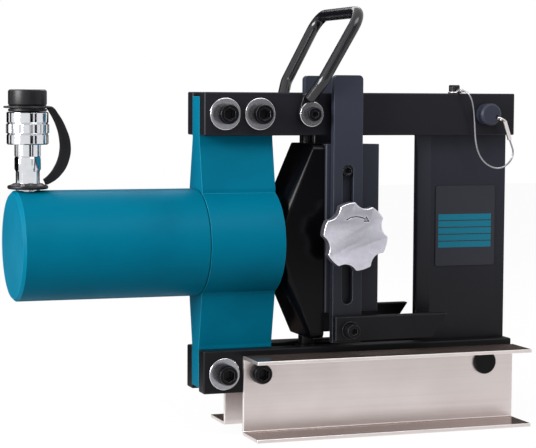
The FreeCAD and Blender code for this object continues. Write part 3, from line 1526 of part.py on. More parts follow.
def lanyard_wire():
    # Each bend takes 0.45 of the shorter run beside it, and the radii are printed.
    share = 0.45
    radii = []
    for before, corner, after in zip(LANYARD_ROUTE, LANYARD_ROUTE[1:], LANYARD_ROUTE[2:]):
        first = before - corner
        second = after - corner
        half_turn = (math.pi - first.getAngle(second)) / 2
        radii.append(share * min(first.Length, second.Length) / math.tan(half_turn))
    diameter = amount("sizes.lanyard_wire_diameter")
    path, shape = round_bar(LANYARD_ROUTE, radii, diameter)
    print("lanyard radii", [round(radius, 1) for radius in radii])
    section = math.pi * diameter * diameter / 4
    print("lanyard length", round(path.Length, 1), "volume ratio", round(shape.Volume / section / path.Length, 4))
    return computed("lanyard_wire", shape)


lanyard_wire()

# Every object must be sound before any sub-part is written.
doc.recompute()
faults = []
for item in doc.Objects:
    if "Invalid" in item.State or "Error" in item.State:
        faults.append("%s is %s" % (item.Label, item.State))
for item in nodes:
    if item.Shape.isNull() or not item.Shape.isValid():
        faults.append(item.Label + " has no valid shape")
if faults:
    raise ValueError("; ".join(faults))

os.makedirs("parts", exist_ok=True)
for item in nodes:
    item.Shape.exportStep(os.path.join("parts", item.Label + ".step"))
print(len(nodes), "sub-parts written")
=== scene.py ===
# %% [markdown]
# # A hydraulic bending head for flat bar and sheet
#
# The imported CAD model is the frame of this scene: it gives every rigid piece its shape and place,
# in metres, with +X along the ram, +Y away from the operator and +Z up. This notebook gives those
# pieces their finishes, and remodels the few that need more detail than a machining drawing has:
# the star knob, the cap screws, the rubber dust cap with its strap and ring, the coupler's body,
# the return spring and the lanyard.

# %% Load the frame
import bpy
import math
from mathutils import Matrix, Vector


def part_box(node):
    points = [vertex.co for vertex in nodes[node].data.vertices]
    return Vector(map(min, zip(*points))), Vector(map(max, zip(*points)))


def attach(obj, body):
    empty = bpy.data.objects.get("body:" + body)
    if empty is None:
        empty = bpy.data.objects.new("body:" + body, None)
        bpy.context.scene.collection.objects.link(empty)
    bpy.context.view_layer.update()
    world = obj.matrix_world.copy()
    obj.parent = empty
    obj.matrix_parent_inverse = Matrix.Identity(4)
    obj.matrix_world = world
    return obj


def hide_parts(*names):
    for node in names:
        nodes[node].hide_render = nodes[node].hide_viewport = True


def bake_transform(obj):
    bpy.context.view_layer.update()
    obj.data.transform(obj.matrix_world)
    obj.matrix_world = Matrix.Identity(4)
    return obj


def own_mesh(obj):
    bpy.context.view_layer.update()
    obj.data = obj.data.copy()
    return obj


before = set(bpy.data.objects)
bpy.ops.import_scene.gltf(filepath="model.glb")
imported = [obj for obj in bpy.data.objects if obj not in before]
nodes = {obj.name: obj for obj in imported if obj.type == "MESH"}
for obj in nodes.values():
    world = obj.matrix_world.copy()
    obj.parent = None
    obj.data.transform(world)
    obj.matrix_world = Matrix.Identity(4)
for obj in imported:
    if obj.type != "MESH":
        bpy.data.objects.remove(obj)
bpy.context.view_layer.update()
MM = 0.001
print("CAD nodes:", len(nodes))

# %% [markdown]
# ## Camera
#
# A long lens from the front left, a little above the middle of the head. The place, the angles and
# the lens come from matching known corners of the CAD model to where they are in the photograph.

# %% Camera
CAMERA_PLACE = Vector((-0.53671, -1.515, 0.30211))
CAMERA_YAW = math.radians(19.62)
CAMERA_PITCH = math.radians(4.16)
CAMERA_ROLL = math.radians(0.33)
CAMERA_LENS = 120.7
SENSOR_WIDTH = 36

bpy.ops.object.camera_add()
camera = bpy.context.object
camera.name = "photo_camera"
ahead = Vector((
    math.sin(CAMERA_YAW) * math.cos(CAMERA_PITCH),
    math.cos(CAMERA_YAW) * math.cos(CAMERA_PITCH),
    -math.sin(CAMERA_PITCH),
))
level_right = Vector((math.cos(CAMERA_YAW), -math.sin(CAMERA_YAW), 0))
level_up = level_right.cross(ahead)
right = level_right * math.cos(CAMERA_ROLL) + level_up * math.sin(CAMERA_ROLL)
up = level_up * math.cos(CAMERA_ROLL) - level_right * math.sin(CAMERA_ROLL)
camera_turn = Matrix((right, up, -ahead)).transposed().to_4x4()
camera.matrix_world = Matrix.Translation(CAMERA_PLACE) @ camera_turn
camera.data.lens = CAMERA_LENS
camera.data.sensor_width = SENSOR_WIDTH
camera.data.clip_start = 0.05
bpy.context.scene.camera = camera
print("camera at", [round(value, 3) for value in camera.location])

# %% [markdown]
# ## Two small helpers for materials
#
# Colours are written as sRGB hex values, the way a paint maker gives them, and turned to linear
# light. One function adds any node with its settings and its links.

# %% Colour and node helpers
def linear(hex_colour):
    channels = [int(hex_colour[i:i + 2], 16) / 255 for i in (1, 3, 5)]
    light = [c / 12.92 if c <= 0.04045 else ((c + 0.055) / 1.055) ** 2.4 for c in channels]
    return (*light, 1.0)


def add_node(tree, kind, inputs=None, **settings):
    # inputs maps a socket's name or number to a value, or to an output socket that feeds it.
    node = tree.nodes.new("ShaderNode" + kind)
    for key, value in settings.items():
        setattr(node, key, value)
    for key, value in (inputs or {}).items():
        if isinstance(value, bpy.types.NodeSocket):
            tree.links.new(value, node.inputs[key])
        else:
            node.inputs[key].default_value = value
    return node


def new_material(name):
    material = bpy.data.materials.new(name)
    material.use_nodes = True
    tree = material.node_tree
    tree.nodes.clear()
    return material, tree


# %% [markdown]
# ## Sprayed enamel
#
# The barrel and the head block are turned steel and a casting under a satin two-pack enamel. Spray
# leaves a faint orange peel about 1.5 mm across, sharp edges are painted lighter, partly for paint
# pulled thin there and partly as a painted highlight, and it darkens a little where dust has
# settled.
# A Bevel node gives each edge the soft bead that paint always has.

# %% Shared parts of the materials
def object_noise(tree, size_mm, detail=2.0, roughness=0.55, stretch=(1, 1, 1)):
    # A noise pattern in object coordinates whose grains are size_mm across, times the stretch.
    place = add_node(tree, "TexCoord").outputs["Object"]
    scale = tuple(1 / (size_mm * MM * factor) for factor in stretch)
    scaled = add_node(tree, "Mapping", {"Vector": place, "Scale": scale})
    noise = add_node(tree, "TexNoise", {
        "Vector": scaled.outputs[0], "Scale": 1.0, "Detail": detail, "Roughness": roughness})
    return noise.outputs["Fac"]


def bevelled(tree, edge_mm, sharpest=0.86):
    # The rounded normal of the edges, and a mask that is 1 on the edges and 0 on flat faces.
    rounded = add_node(tree, "Bevel", {"Radius": edge_mm * MM}, samples=8).outputs[0]
    flat = add_node(tree, "NewGeometry").outputs["Normal"]
    bend = add_node(tree, "VectorMath", {0: rounded, 1: flat}, operation="DOT_PRODUCT")
    mask = add_node(tree, "MapRange", {
        "Value": bend.outputs["Value"], "From Min": 0.995, "From Max": sharpest})
    return rounded, mask.outputs[0]


def shaded_between(tree, value, low, high, first, second):
    # Goes from the first colour to the second while the value goes from low to high.
    share = add_node(tree, "MapRange", {"Value": value, "From Min": low, "From Max": high})
    mix = add_node(tree, "Mix", {0: share.outputs[0], 6: first, 7: second}, data_type="RGBA")
    return mix.outputs[2]


# Nearly all values of a noise lie in this range, so it is what other ranges are mapped from.
NOISE_RANGE = {"From Min": 0.3, "From Max": 0.7}


# %% Sprayed enamel
SETTLED_DUST_MM = 90
ORANGE_PEEL_MM = 1.5
RELIEF_MM = 0.006


def enamel(name, colour, settled, thin_paint_and_highlight):
    material, tree = new_material(name)
    cloud = object_noise(tree, SETTLED_DUST_MM, 3.0)
    body_colour = shaded_between(tree, cloud, 0.32, 0.55, linear(settled), linear(colour))
    # The edge mask paints the edges lighter: partly thin paint, partly a painted highlight.
    rounded, edge = bevelled(tree, 0.6, 0.9)
    roughness = add_node(tree, "MapRange", {
        "Value": cloud, **NOISE_RANGE, "To Min": 0.46, "To Max": 0.38})
    peel = add_node(tree, "Bump", {
        "Height": object_noise(tree, ORANGE_PEEL_MM, 1.0),
        "Distance": RELIEF_MM * MM,
        "Strength": 1.0,
        "Normal": rounded,
    })
    shader = add_node(tree, "BsdfPrincipled", {
        "Base Color": shaded_between(tree, edge, 0.0, 1.0, body_colour, linear(thin_paint_and_highlight)),
        "Roughness": roughness.outputs[0],
        "Specular IOR Level": 0.03,
        "Normal": peel.outputs[0],
    })
    add_node(tree, "OutputMaterial", {"Surface": shader.outputs[0]})
    return material


teal_enamel = enamel("sprayed_teal_enamel", "#006681", "#005E78", "#2C94AA")
print("made", teal_enamel.name)

# %% [markdown]
# ## Black paint on plate steel
#
# The bars, plates, column and handle are sawn or flame-cut steel under a thinner black paint with a
# blue cast. It shows the plate's mill texture as long faint streaks, and it is rubbed a little
# paler on the edges that sheets and hands touch, which a mask from the Bevel node paints. The bars,
# supports, die and column are painted paler with height, a painted light that stands in for the
# lamps above. The ram head is a casting under a thick glossy coat, and looks the blackest.

# %% Black paint on plate steel
TOP_LIGHT_FROM_MM = 90
TOP_LIGHT_TO_MM = 340
MILL_GRAIN_MM = 3
WIPE_MARKS_MM = 60


def black_paint(
        name, colour, scuff, rubbed, roughness, shine, streaks, edge_mm=0.7, painted_top_light=None):
    material, tree = new_material(name)
    grain = object_noise(tree, MILL_GRAIN_MM, 4.0, 0.6, streaks)
    cloud = object_noise(tree, WIPE_MARKS_MM, 4.0, 0.6)
    both = add_node(tree, "Mix", {0: 0.3, 2: cloud, 3: grain}, data_type="FLOAT").outputs[0]
    body_colour = shaded_between(tree, both, 0.36, 0.64, linear(colour), linear(scuff))
    # Painted light: the colour grows paler with height, as if lit from above.
    if painted_top_light:
        place = add_node(tree, "TexCoord").outputs["Object"]
        height = add_node(tree, "SeparateXYZ", {0: place}).outputs["Z"]
        body_colour = shaded_between(
            tree, height, TOP_LIGHT_FROM_MM * MM, TOP_LIGHT_TO_MM * MM, body_colour, linear(painted_top_light))
    rounded, edge = bevelled(tree, edge_mm, 0.82)
    uneven = add_node(tree, "MapRange", {
        "Value": both, **NOISE_RANGE, "To Min": roughness * 1.15, "To Max": roughness * 0.85})
    relief = add_node(tree, "Bump", {
        "Height": grain, "Distance": RELIEF_MM * MM, "Strength": 1.0, "Normal": rounded})
    shader = add_node(tree, "BsdfPrincipled", {
        "Base Color": shaded_between(tree, edge, 0.0, 1.0, body_colour, linear(rubbed)),
        "Roughness": uneven.outputs[0],
        "Specular IOR Level": shine,
        "Normal": relief.outputs[0],
    })
    add_node(tree, "OutputMaterial", {"Surface": shader.outputs[0]})
    return material


ALONG_X = (22, 1, 1)
ALONG_Z = (1, 1, 22)
EVEN = (1, 1, 1)
bar_paint = black_paint(
    "black_paint_on_drawn_bar", "#08080B", "#0D0D12", "#3A3C45",
    roughness=0.38, shine=0.18, streaks=ALONG_X, painted_top_light="#1B1B22")
plate_paint = black_paint(
    "black_paint_rubbed_by_sheet", "#121217", "#191A20", "#5A5E6B",
    roughness=0.36, shine=0.22, streaks=ALONG_Z, painted_top_light="#343845")
die_paint = black_paint(
    "black_paint_on_die_steel", "#121217", "#18191F", "#4A4D5A",
    roughness=0.36, shine=0.20, streaks=ALONG_Z, painted_top_light="#343744")
column_paint = black_paint(
    "black_paint_on_thick_plate", "#0A0A0E", "#101015", "#444752",
    roughness=0.34, shine=0.22, streaks=ALONG_Z, painted_top_light="#2D2F3B")
handle_paint = black_paint(
    "black_paint_on_round_rod", "#0E0E12", "#141419", "#26272D",
    roughness=0.20, shine=0.60, streaks=EVEN)
casting_paint = black_paint(
    "glossy_black_on_casting", "#040406", "#07070A", "#101116",
    roughness=0.22, shine=0.12, streaks=EVEN, edge_mm=1.2)
print("made six black paints")

# %% [markdown]
# ## Bare and plated metals
#
# Cap screws are blackened by oxide in hot salts, with a painted highlight on their edges. Washers
# are zinc plated, with a painted highlight on the rim. The foot channels are folded from polished
# sheet, with a faint grain along their length, painted highlights on the edges, and painted shade
# on the faces that look up, which stands in for the dark things they reflect. The knob is cast
# aluminium, tumbled until it is satin, with painted shade in its grooves. The coupler is turned
# steel under bright chrome. The lanyard is stranded steel rope between two crimped sleeves. One
# function makes them all, because they differ only in numbers.

# %% Bare and plated metals
HANDLING_MARKS_MM = 45
UPWARD_ROUGHNESS = 0.24
RECESS_MM = 2.0


def metal(
        name, light, dark, roughness, grain_mm, depth_mm, streaks=EVEN, metallic=1.0, shine=0.5,
        edge_mm=0.4, edge_highlight=None, upward_shade=None, recess_shade=None):
    material, tree = new_material(name)
    grain = object_noise(tree, grain_mm, 3.0, 0.6, streaks)
    cloud = object_noise(tree, HANDLING_MARKS_MM, 4.0)
    both = add_node(tree, "Mix", {0: 0.4, 2: cloud, 3: grain}, data_type="FLOAT").outputs[0]
    rounded, edge = bevelled(tree, edge_mm)
    colour = shaded_between(tree, both, 0.3, 0.7, linear(dark), linear(light))
    dullness = add_node(tree, "MapRange", {
        "Value": both, **NOISE_RANGE,
        "To Min": roughness * 1.2, "To Max": roughness * 0.85}).outputs[0]
    if upward_shade:
        # Faces that look up are painted darker, a painted shade for the dark things they reflect,
        # and their roughness is evened out.
        normal = add_node(tree, "NewGeometry").outputs["Normal"]
        upward = add_node(tree, "SeparateXYZ", {0: normal}).outputs["Z"]
        upward_share = add_node(tree, "MapRange", {
            "Value": upward, "From Min": 0.4, "From Max": 0.9}).outputs[0]
        colour = shaded_between(tree, upward_share, 0.0, 1.0, colour, linear(upward_shade))
        dullness = add_node(tree, "Mix", {
            0: upward_share, 2: dullness, 3: UPWARD_ROUGHNESS}, data_type="FLOAT").outputs[0]
    if recess_shade:
        # Painted shade in the grooves: a close look round each spot tells how deep it lies, and
        # deep spots are darkened.
        openness = add_node(tree, "AmbientOcclusion", {"Distance": RECESS_MM * MM}, samples=8)
        colour = shaded_between(tree, openness.outputs["AO"], 0.75, 0.96, linear(recess_shade), colour)
    # Painted highlight: the edges are given a lighter colour.
    if edge_highlight:
        colour = shaded_between(tree, edge, 0.0, 1.0, colour, linear(edge_highlight))
    relief = add_node(tree, "Bump", {
        "Height": grain, "Distance": depth_mm * MM, "Strength": 1.0, "Normal": rounded})
    shader = add_node(tree, "BsdfPrincipled", {
        "Base Color": colour,
        "Metallic": metallic,
        "Roughness": dullness,
        "Specular IOR Level": shine,
        "Normal": relief.outputs[0],
    })
    add_node(tree, "OutputMaterial", {"Surface": shader.outputs[0]})
    return material


ROLLED_ALONG_X = (80, 1, 1)
GROUND_AROUND_X = (0.2, 1, 1)
black_oxide = metal(
    "blackened_alloy_steel", "#101013", "#09090B", roughness=0.28, grain_mm=1.2, depth_mm=0.004,
    metallic=0.6, shine=0.3, edge_mm=0.5, edge_highlight="#5A5A62")
zinc_steel = metal(
    "bright_zinc_plate", "#B2B2B8", "#8A8A90", roughness=0.24, grain_mm=1.5, depth_mm=0.006,
    edge_mm=1.0, edge_highlight="#FAFAFC")
rolled_sheet = metal(
    "polished_sheet_steel", "#E2D8D6", "#D8CDCB", roughness=0.32, grain_mm=2.5, depth_mm=0.002,
    streaks=ROLLED_ALONG_X, metallic=0.85, edge_mm=1.2, edge_highlight="#FFFDFC", upward_shade="#9A8780")
ground_steel = metal(
    "ground_steel", "#C9C9CC", "#A4A4A8", roughness=0.22, grain_mm=0.8, depth_mm=0.004,
    streaks=GROUND_AROUND_X)
cast_aluminium = metal(
    "tumbled_cast_aluminium", "#E6E5F0", "#C2C1CC", roughness=0.30, grain_mm=5.0, depth_mm=0.12,
    metallic=0.95, edge_mm=0.8, recess_shade="#121216")
steel_rope = metal(
    "stranded_steel_rope", "#B4B4BA", "#6E6E74", roughness=0.32, grain_mm=0.5, depth_mm=0.05,
    edge_mm=0.2)
crimped_sleeve = metal(
    "crimped_aluminium_sleeve", "#EDE6E4", "#C9C2C1", roughness=0.30, grain_mm=1.0, depth_mm=0.02,
    edge_mm=0.3)
bright_chrome = metal(
    "bright_chrome_plate", "#E6E7EA", "#D6D8DD", roughness=0.10, grain_mm=4.0, depth_mm=0.004,
    edge_mm=0.5)
print("made eight metals")

# %% [markdown]
# ## Nitrile rubber
#
# The dust cap, its strap and the ring on the coupler's neck are moulded in one black nitrile
# rubber: nearly matt, a shade lighter where it has been bent, with the fine grain of the mould.

# %% Nitrile rubber
BENT_PATCH_MM = 14
MOULD_GRAIN_MM = 0.6
MOULD_GRAIN_DEPTH_MM = 0.02
nitrile, rubber_tree = new_material("moulded_nitrile_rubber")
patches = object_noise(rubber_tree, BENT_PATCH_MM, 4.0)
mould_grain = add_node(rubber_tree, "Bump", {
    "Height": object_noise(rubber_tree, MOULD_GRAIN_MM),
    "Distance": MOULD_GRAIN_DEPTH_MM * MM,
    "Strength": 1.0,
})
rubber_colour = shaded_between(
    rubber_tree, patches, 0.35, 0.7, linear("#0C0C0F"), linear("#15151A"))
rubber_shader = add_node(rubber_tree, "BsdfPrincipled", {
    "Base Color": rubber_colour,
    "Roughness": 0.36,
    "Specular IOR Level": 0.3,
    "Normal": mould_grain.outputs[0],
})
add_node(rubber_tree, "OutputMaterial", {"Surface": rubber_shader.outputs[0]})
print("made", nitrile.name)

# %% [markdown]
# ## Data plate
#
# The plate is anodised aluminium, screen-printed black, with a teal field of five rows divided by
# thin dark rules. The rows are left blank. The pattern is drawn in object coordinates: each spot's
# place is turned to a share of the plate's width and height, and compared with the field's edges.

# %% Data plate
FIELD_ACROSS = (0.045, 0.94)
FIELD_UP = (0.222, 0.65)
ROW_SHARE = 0.0857
TEAL_OF_ROW = (0.07, 0.93)
PRINT_GRAIN_MM = 2
PRINT_DEPTH_MM = 0.004
plate_low, plate_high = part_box("data_plate")
plate_size = (plate_high.x - plate_low.x, 1, plate_high.z - plate_low.z)


def band(tree, value, limits):
    # 1 between two limits and 0 outside them.
    above = add_node(tree, "Math", {0: value, 1: limits[0]}, operation="GREATER_THAN")
    below = add_node(tree, "Math", {0: value, 1: limits[1]}, operation="LESS_THAN")
    both = add_node(tree, "Math", {0: above.outputs[0], 1: below.outputs[0]}, operation="MULTIPLY")
    return both.outputs[0]


def data_plate_print():
    material, tree = new_material("screen_printed_plate")
    place = add_node(tree, "TexCoord").outputs["Object"]
    corner = (plate_low.x, 0, plate_low.z)
    local = add_node(tree, "VectorMath", {0: place, 1: corner}, operation="SUBTRACT").outputs[0]
    share = add_node(tree, "VectorMath", {0: local, 1: plate_size}, operation="DIVIDE").outputs[0]
    shares = add_node(tree, "SeparateXYZ", {0: share})
    across, height = shares.outputs[0], shares.outputs[2]
    field = add_node(tree, "Math", {
        0: band(tree, across, FIELD_ACROSS), 1: band(tree, height, FIELD_UP)}, operation="MULTIPLY")
    above_field = add_node(tree, "Math", {0: height, 1: FIELD_UP[0]}, operation="SUBTRACT")
    rows = add_node(tree, "Math", {0: above_field.outputs[0], 1: ROW_SHARE}, operation="DIVIDE")
    in_row = add_node(tree, "Math", {0: rows.outputs[0]}, operation="FRACT").outputs[0]
    teal = add_node(tree, "Math", {
        0: field.outputs[0], 1: band(tree, in_row, TEAL_OF_ROW)}, operation="MULTIPLY").outputs[0]
    grain = add_node(tree, "TexNoise", {
        "Vector": place, "Scale": 1 / (PRINT_GRAIN_MM * MM), "Detail": 3.0})
    bump = add_node(tree, "Bump", {
        "Height": grain.outputs["Fac"], "Distance": PRINT_DEPTH_MM * MM, "Strength": 1.0})
    shader = add_node(tree, "BsdfPrincipled", {
        "Base Color": shaded_between(tree, teal, 0.0, 1.0, linear("#2A2B33"), linear("#066C84")),
        "Roughness": 0.32,
        "Specular IOR Level": 0.25,
        "Normal": bump.outputs[0],
    })
    add_node(tree, "OutputMaterial", {"Surface": shader.outputs[0]})
    return material


plate_print = data_plate_print()
print("made", plate_print.name)

# %% [markdown]
# ## Finishes for the CAD nodes
#
# A CAD node keeps its own mesh, whose sizes are right already, and only gets a finish. The table
# lists the nodes under the finish that the real piece has, so that one look tells which share one.

# %% Give the CAD nodes their finishes
FINISHES = {
    teal_enamel: ["head_block", "cylinder_barrel"],
    bar_paint: ["front_top_bar", "rear_top_bar", "front_bottom_bar", "rear_bottom_bar",
                "support_arm_front", "support_arm_rear"],
    handle_paint: ["carry_handle"],
    plate_paint: ["support_plate_front", "support_plate_rear", "release_pin"],
    die_paint: ["vee_die"],
    column_paint: ["die_column"],
    casting_paint: ["ram_head"],
    rolled_sheet: ["foot_channel_front", "foot_channel_rear"],
    zinc_steel: ["head_washers", "handle_washers"],
    black_oxide: ["guide_posts", "pivot_pin", "pivot_clip", "head_bolts", "foot_bolt", "head_nuts",
                  "arm_screw_front", "arm_screw_rear", "arm_washer_front", "arm_washer_rear",
                  "guide_screws", "clamp_bolt", "clamp_washers", "handle_bushes", "handle_screws",
                  "lanyard_screw"],
    ground_steel: ["piston", "ram_rod", "return_spring", "coupler_poppet"],
    cast_aluminium: ["clamp_knob"],
    bright_chrome: ["coupler_body", "coupler_collar"],
    nitrile: ["piston_seal", "rod_wiper", "dust_cap", "strap_ring", "cap_strap"],
    steel_rope: ["lanyard_wire"],
    crimped_sleeve: ["lanyard_frame_end", "lanyard_pin_end"],
    plate_print: ["data_plate"],
}
finished_nodes = 0
for material, names in FINISHES.items():
    for name in names:
        mesh = nodes[name].data
        mesh.materials.clear()
        mesh.materials.append(material)
        finished_nodes += 1
print("finished", finished_nodes, "of", len(nodes), "nodes")

# %% [markdown]
# ## The lanyard
#
# A thin rope of bright steel wire keeps the release pin on the machine. It leaves the crimped
# sleeve beside a small screw on the bar, falls down the bar's face, and comes back up to the pin's
# eye. A NURBS curve with the CAD route's points as its control points bends as smoothly as real
# rope does.

# %% The lanyard
LANYARD_ROUTE_MM = [
    (180.5, -28.3, 305.2), (181.9, -33.1, 305.2), (185.4, -36.2, 299.6), (188.8, -34.4, 290.0),
    (191.2, -31.8, 279.5), (192.6, -30.2, 269.0), (193.9, -29.4, 258.5), (197.0, -29.2, 247.5),
    (204.0, -29.4, 238.6), (214.0, -30.1, 234.2), (223.4, -31.2, 235.8), (229.6, -32.4, 242.6),
    (230.9, -33.1, 250.2), (228.2, -33.6, 256.2), (226.1, -34.4, 261.2),
]
LANYARD_DIAMETER = 1.6 * MM
rope_curve = bpy.data.curves.new("lanyard_rope", "CURVE")
rope_curve.dimensions = "3D"
rope_spline = rope_curve.splines.new("NURBS")
rope_spline.points.add(len(LANYARD_ROUTE_MM) - 1)
for point, spot in zip(rope_spline.points, LANYARD_ROUTE_MM):
    point.co = (*(Vector(spot) * MM), 1)
rope_spline.order_u = 3
rope_spline.use_endpoint_u = True
rope_spline.resolution_u = 12
lanyard_rope = bpy.data.objects.new("lanyard_rope", rope_curve)
bpy.context.collection.objects.link(lanyard_rope)
bpy.context.view_layer.update()
centreline = bpy.data.meshes.new_from_object(lanyard_rope)
rope_curve.bevel_depth = LANYARD_DIAMETER / 2
rope_curve.bevel_resolution = 4
rope_curve.use_fill_caps = True
rope_curve.materials.append(steel_rope)
bpy.ops.object.select_all(action="DESELECT")
lanyard_rope.select_set(True)
bpy.context.view_layer.objects.active = lanyard_rope
bpy.ops.object.convert(target="MESH")
bpy.ops.object.shade_smooth()
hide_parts("lanyard_wire")
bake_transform(lanyard_rope)
print("rope has", len(lanyard_rope.data.polygons), "faces")

# %% [markdown]
# ## Modelling helpers
#
# The pieces below are modelled as by hand, with Blender's own operators. These helpers pick one
# object, pick its faces or edges by a test in code, add a primitive in millimetres with its place
# applied to its mesh, and cut one solid with another.

# %% Modelling helpers
def only(piece):
    bpy.ops.object.select_all(action="DESELECT")
    piece.select_set(True)
    bpy.context.view_layer.objects.active = piece


def keep(name):
    # Names the new primitive and writes its place into its mesh.
    piece = bpy.context.object
    piece.name = name
    bpy.ops.object.transform_apply(location=True, rotation=True, scale=True)
    return piece


def choose(piece, kind, test):
    # Selects the faces or edges that pass a test, and stays in edit mode.
    only(piece)
    bpy.ops.object.mode_set(mode="EDIT")
    bpy.ops.mesh.select_mode(type=kind)
    bpy.ops.mesh.select_all(action="DESELECT")
    bpy.ops.object.mode_set(mode="OBJECT")
    for item in (piece.data.polygons if kind == "FACE" else piece.data.edges):
        item.select = bool(test(item))
    bpy.ops.object.mode_set(mode="EDIT")


def leave_edit():
    bpy.ops.object.mode_set(mode="OBJECT")


TURN_TO = {"x": (0, math.pi / 2, 0), "y": (math.pi / 2, 0, 0), "z": (0, 0, 0)}


def cylinder(name, radius, depth, centre, along, sides=64):
    bpy.ops.object.select_all(action="DESELECT")
    bpy.ops.mesh.primitive_cylinder_add(
        vertices=sides, radius=radius * MM, depth=depth * MM,
        location=Vector(centre) * MM, rotation=TURN_TO[along],
    )
    return keep(name)


def carve(piece, tool, operation="DIFFERENCE"):
    only(piece)
    cut = piece.modifiers.new("cut", "BOOLEAN")
    cut.operation = operation
    cut.solver = "EXACT"
    cut.object = tool
    bpy.ops.object.modifier_apply(modifier=cut.name)
    bpy.data.objects.remove(tool)


def turned(name, steps, centre, sides=96):
    # Built up as on a lathe: each (radius, height) step extrudes the top face and sets its size.
    (radius, height), *rest = steps
    bpy.ops.object.select_all(action="DESELECT")
    start = (Vector(centre) + Vector((0, 0, height))) * MM
    bpy.ops.mesh.primitive_circle_add(
        vertices=sides, radius=radius * MM, fill_type="NGON", location=start)
    piece = keep(name)
    bpy.ops.object.mode_set(mode="EDIT")
    bpy.ops.mesh.select_all(action="SELECT")
    for next_radius, next_height in rest:
        rise = (next_height - height) * MM
        bpy.ops.mesh.extrude_region_move(TRANSFORM_OT_translate={"value": (0, 0, rise)})
        bpy.ops.transform.resize(value=(next_radius / radius, next_radius / radius, 1))
        radius, height = next_radius, next_height
    bpy.ops.mesh.select_all(action="SELECT")
    bpy.ops.mesh.normals_make_consistent(inside=False)
    leave_edit()
    return piece


def round_edges(piece, width, segments, degrees=35):
    only(piece)
    edge = piece.modifiers.new("edge", "BEVEL")
    edge.width = width * MM
    edge.segments = segments
    edge.limit_method = "ANGLE"
    edge.angle_limit = math.radians(degrees)
    bpy.ops.object.modifier_apply(modifier=edge.name)


def finish_piece(piece, material, body, slot, *hidden, smooth=35):
    only(piece)
    bpy.ops.object.shade_smooth_by_angle(angle=math.radians(smooth))
    piece.data.materials.clear()
    piece.data.materials.append(material)
    if body:
        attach(piece, body)
    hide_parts(*hidden)
    print(piece.name, "has", len(piece.data.polygons), "faces")
    return piece


def joined(pieces, name):
    only(pieces[0])
    for piece in pieces:
        piece.select_set(True)
    if len(pieces) > 1:
        bpy.ops.object.join()
    pieces[0].name = name
    return pieces[0]


# %% [markdown]
# ## Star knob
#
# The clamp's knob is a casting with six broad lobes. It starts as a round disc. Six scoops are cut
# from its rim with a round tool, as a founder's pattern maker would, and one bevel softens both the
# lobes' corners and the rims. A boss and a blind bore follow, and a curved arrow is cut in the
# face.

# %% Star knob
knob_low, knob_high = (Vector(corner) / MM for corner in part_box("clamp_knob"))
KNOB_RADIUS = 30.3
KNOB_DISC = 9.6
SCOOP_RADIUS = 12.0
SCOOP_DEPTH = 4.6
LOBE_COUNT = 6
FIRST_SCOOP_DEGREES = 75
LOBE_ROUNDING = 2.4
BOSS_RADIUS = 12
BORE_RADIUS = 5.05
BORE_LENGTH = 24.6
knob_x = (knob_low.x + knob_high.x) / 2
knob_z = (knob_low.z + knob_high.z) / 2
knob_face = knob_low.y
knob_back = knob_low.y + KNOB_DISC
disc_middle = (knob_face + knob_back) / 2
star_knob = cylinder(
    "star_knob", KNOB_RADIUS, knob_back - knob_face, (knob_x, disc_middle, knob_z), "y", 96)
scoop_distance = KNOB_RADIUS - SCOOP_DEPTH + SCOOP_RADIUS
for number in range(LOBE_COUNT):
    angle = math.radians(FIRST_SCOOP_DEGREES + 360 / LOBE_COUNT * number)
    scoop_place = (
        knob_x + scoop_distance * math.cos(angle),
        disc_middle,
        knob_z + scoop_distance * math.sin(angle),
    )
    carve(star_knob, cylinder("scoop", SCOOP_RADIUS, 3 * KNOB_DISC, scoop_place, "y", 72))
round_edges(star_knob, LOBE_ROUNDING, 4, 40)
# The boss starts 1 mm inside the disc, so that the two join.
boss_length = knob_high.y - knob_back + 1
boss_middle = (knob_x, knob_high.y - boss_length / 2, knob_z)
carve(star_knob, cylinder("boss", BOSS_RADIUS, boss_length, boss_middle, "y"), "UNION")
carve(star_knob, cylinder("bore", BORE_RADIUS, BORE_LENGTH, (knob_x, knob_high.y, knob_z), "y", 32))

# %% The knob's arrow, cut as a groove
ARROW_RADIUS = 17.5
ARROW_HEAD_RADIUS = 3.4
GROOVE_WIDTH = 1.3
ARROW_START_DEGREES = 122
ARROW_SWEEP_DEGREES = 66
start_angle = math.radians(ARROW_START_DEGREES)
bpy.ops.object.select_all(action="DESELECT")
bpy.ops.mesh.primitive_plane_add(
    size=GROOVE_WIDTH * MM,
    location=Vector((
        knob_x + ARROW_RADIUS * math.cos(start_angle),
        knob_face,
        knob_z + ARROW_RADIUS * math.sin(start_angle),
    )) * MM,
    rotation=(math.pi / 2 - start_angle, math.pi / 2, 0),
)
arrow = keep("arrow")
bpy.ops.object.mode_set(mode="EDIT")
bpy.ops.mesh.select_all(action="SELECT")
bpy.ops.mesh.spin(
    steps=20, angle=-math.radians(ARROW_SWEEP_DEGREES),
    center=Vector((knob_x, knob_face, knob_z)) * MM, axis=(0, 1, 0),
)
bpy.ops.mesh.select_all(action="SELECT")
bpy.ops.mesh.normals_make_consistent(inside=False)
leave_edit()
carve(star_knob, arrow)
end_angle = math.radians(ARROW_START_DEGREES - ARROW_SWEEP_DEGREES)
head_place = (
    knob_x + ARROW_RADIUS * math.cos(end_angle),
    knob_face,
    knob_z + ARROW_RADIUS * math.sin(end_angle),
)
carve(star_knob, cylinder("arrow_head", ARROW_HEAD_RADIUS, GROOVE_WIDTH, head_place, "y", 3))
finish_piece(star_knob, cast_aluminium, "knob", "cast_aluminium", "clamp_knob")

# %% [markdown]
# ## Socket cap screws
#
# Every screw on the head is a socket cap screw: a knurled round head, a chamfer round its top, a
# hexagon socket and a plain shank. Real heads are cold forged and knurled by a rolling die, so here
# every second edge of the head's side is drawn in. One function models a screw with its seat at the
# origin, and each place on the head gets a copy of its own.

# %% One cap screw
RIM_SHARE = 0.16
RIM_SHRINK = 0.89
KNURL_SHRINK = 0.962
SOCKET_SHARE = 0.55


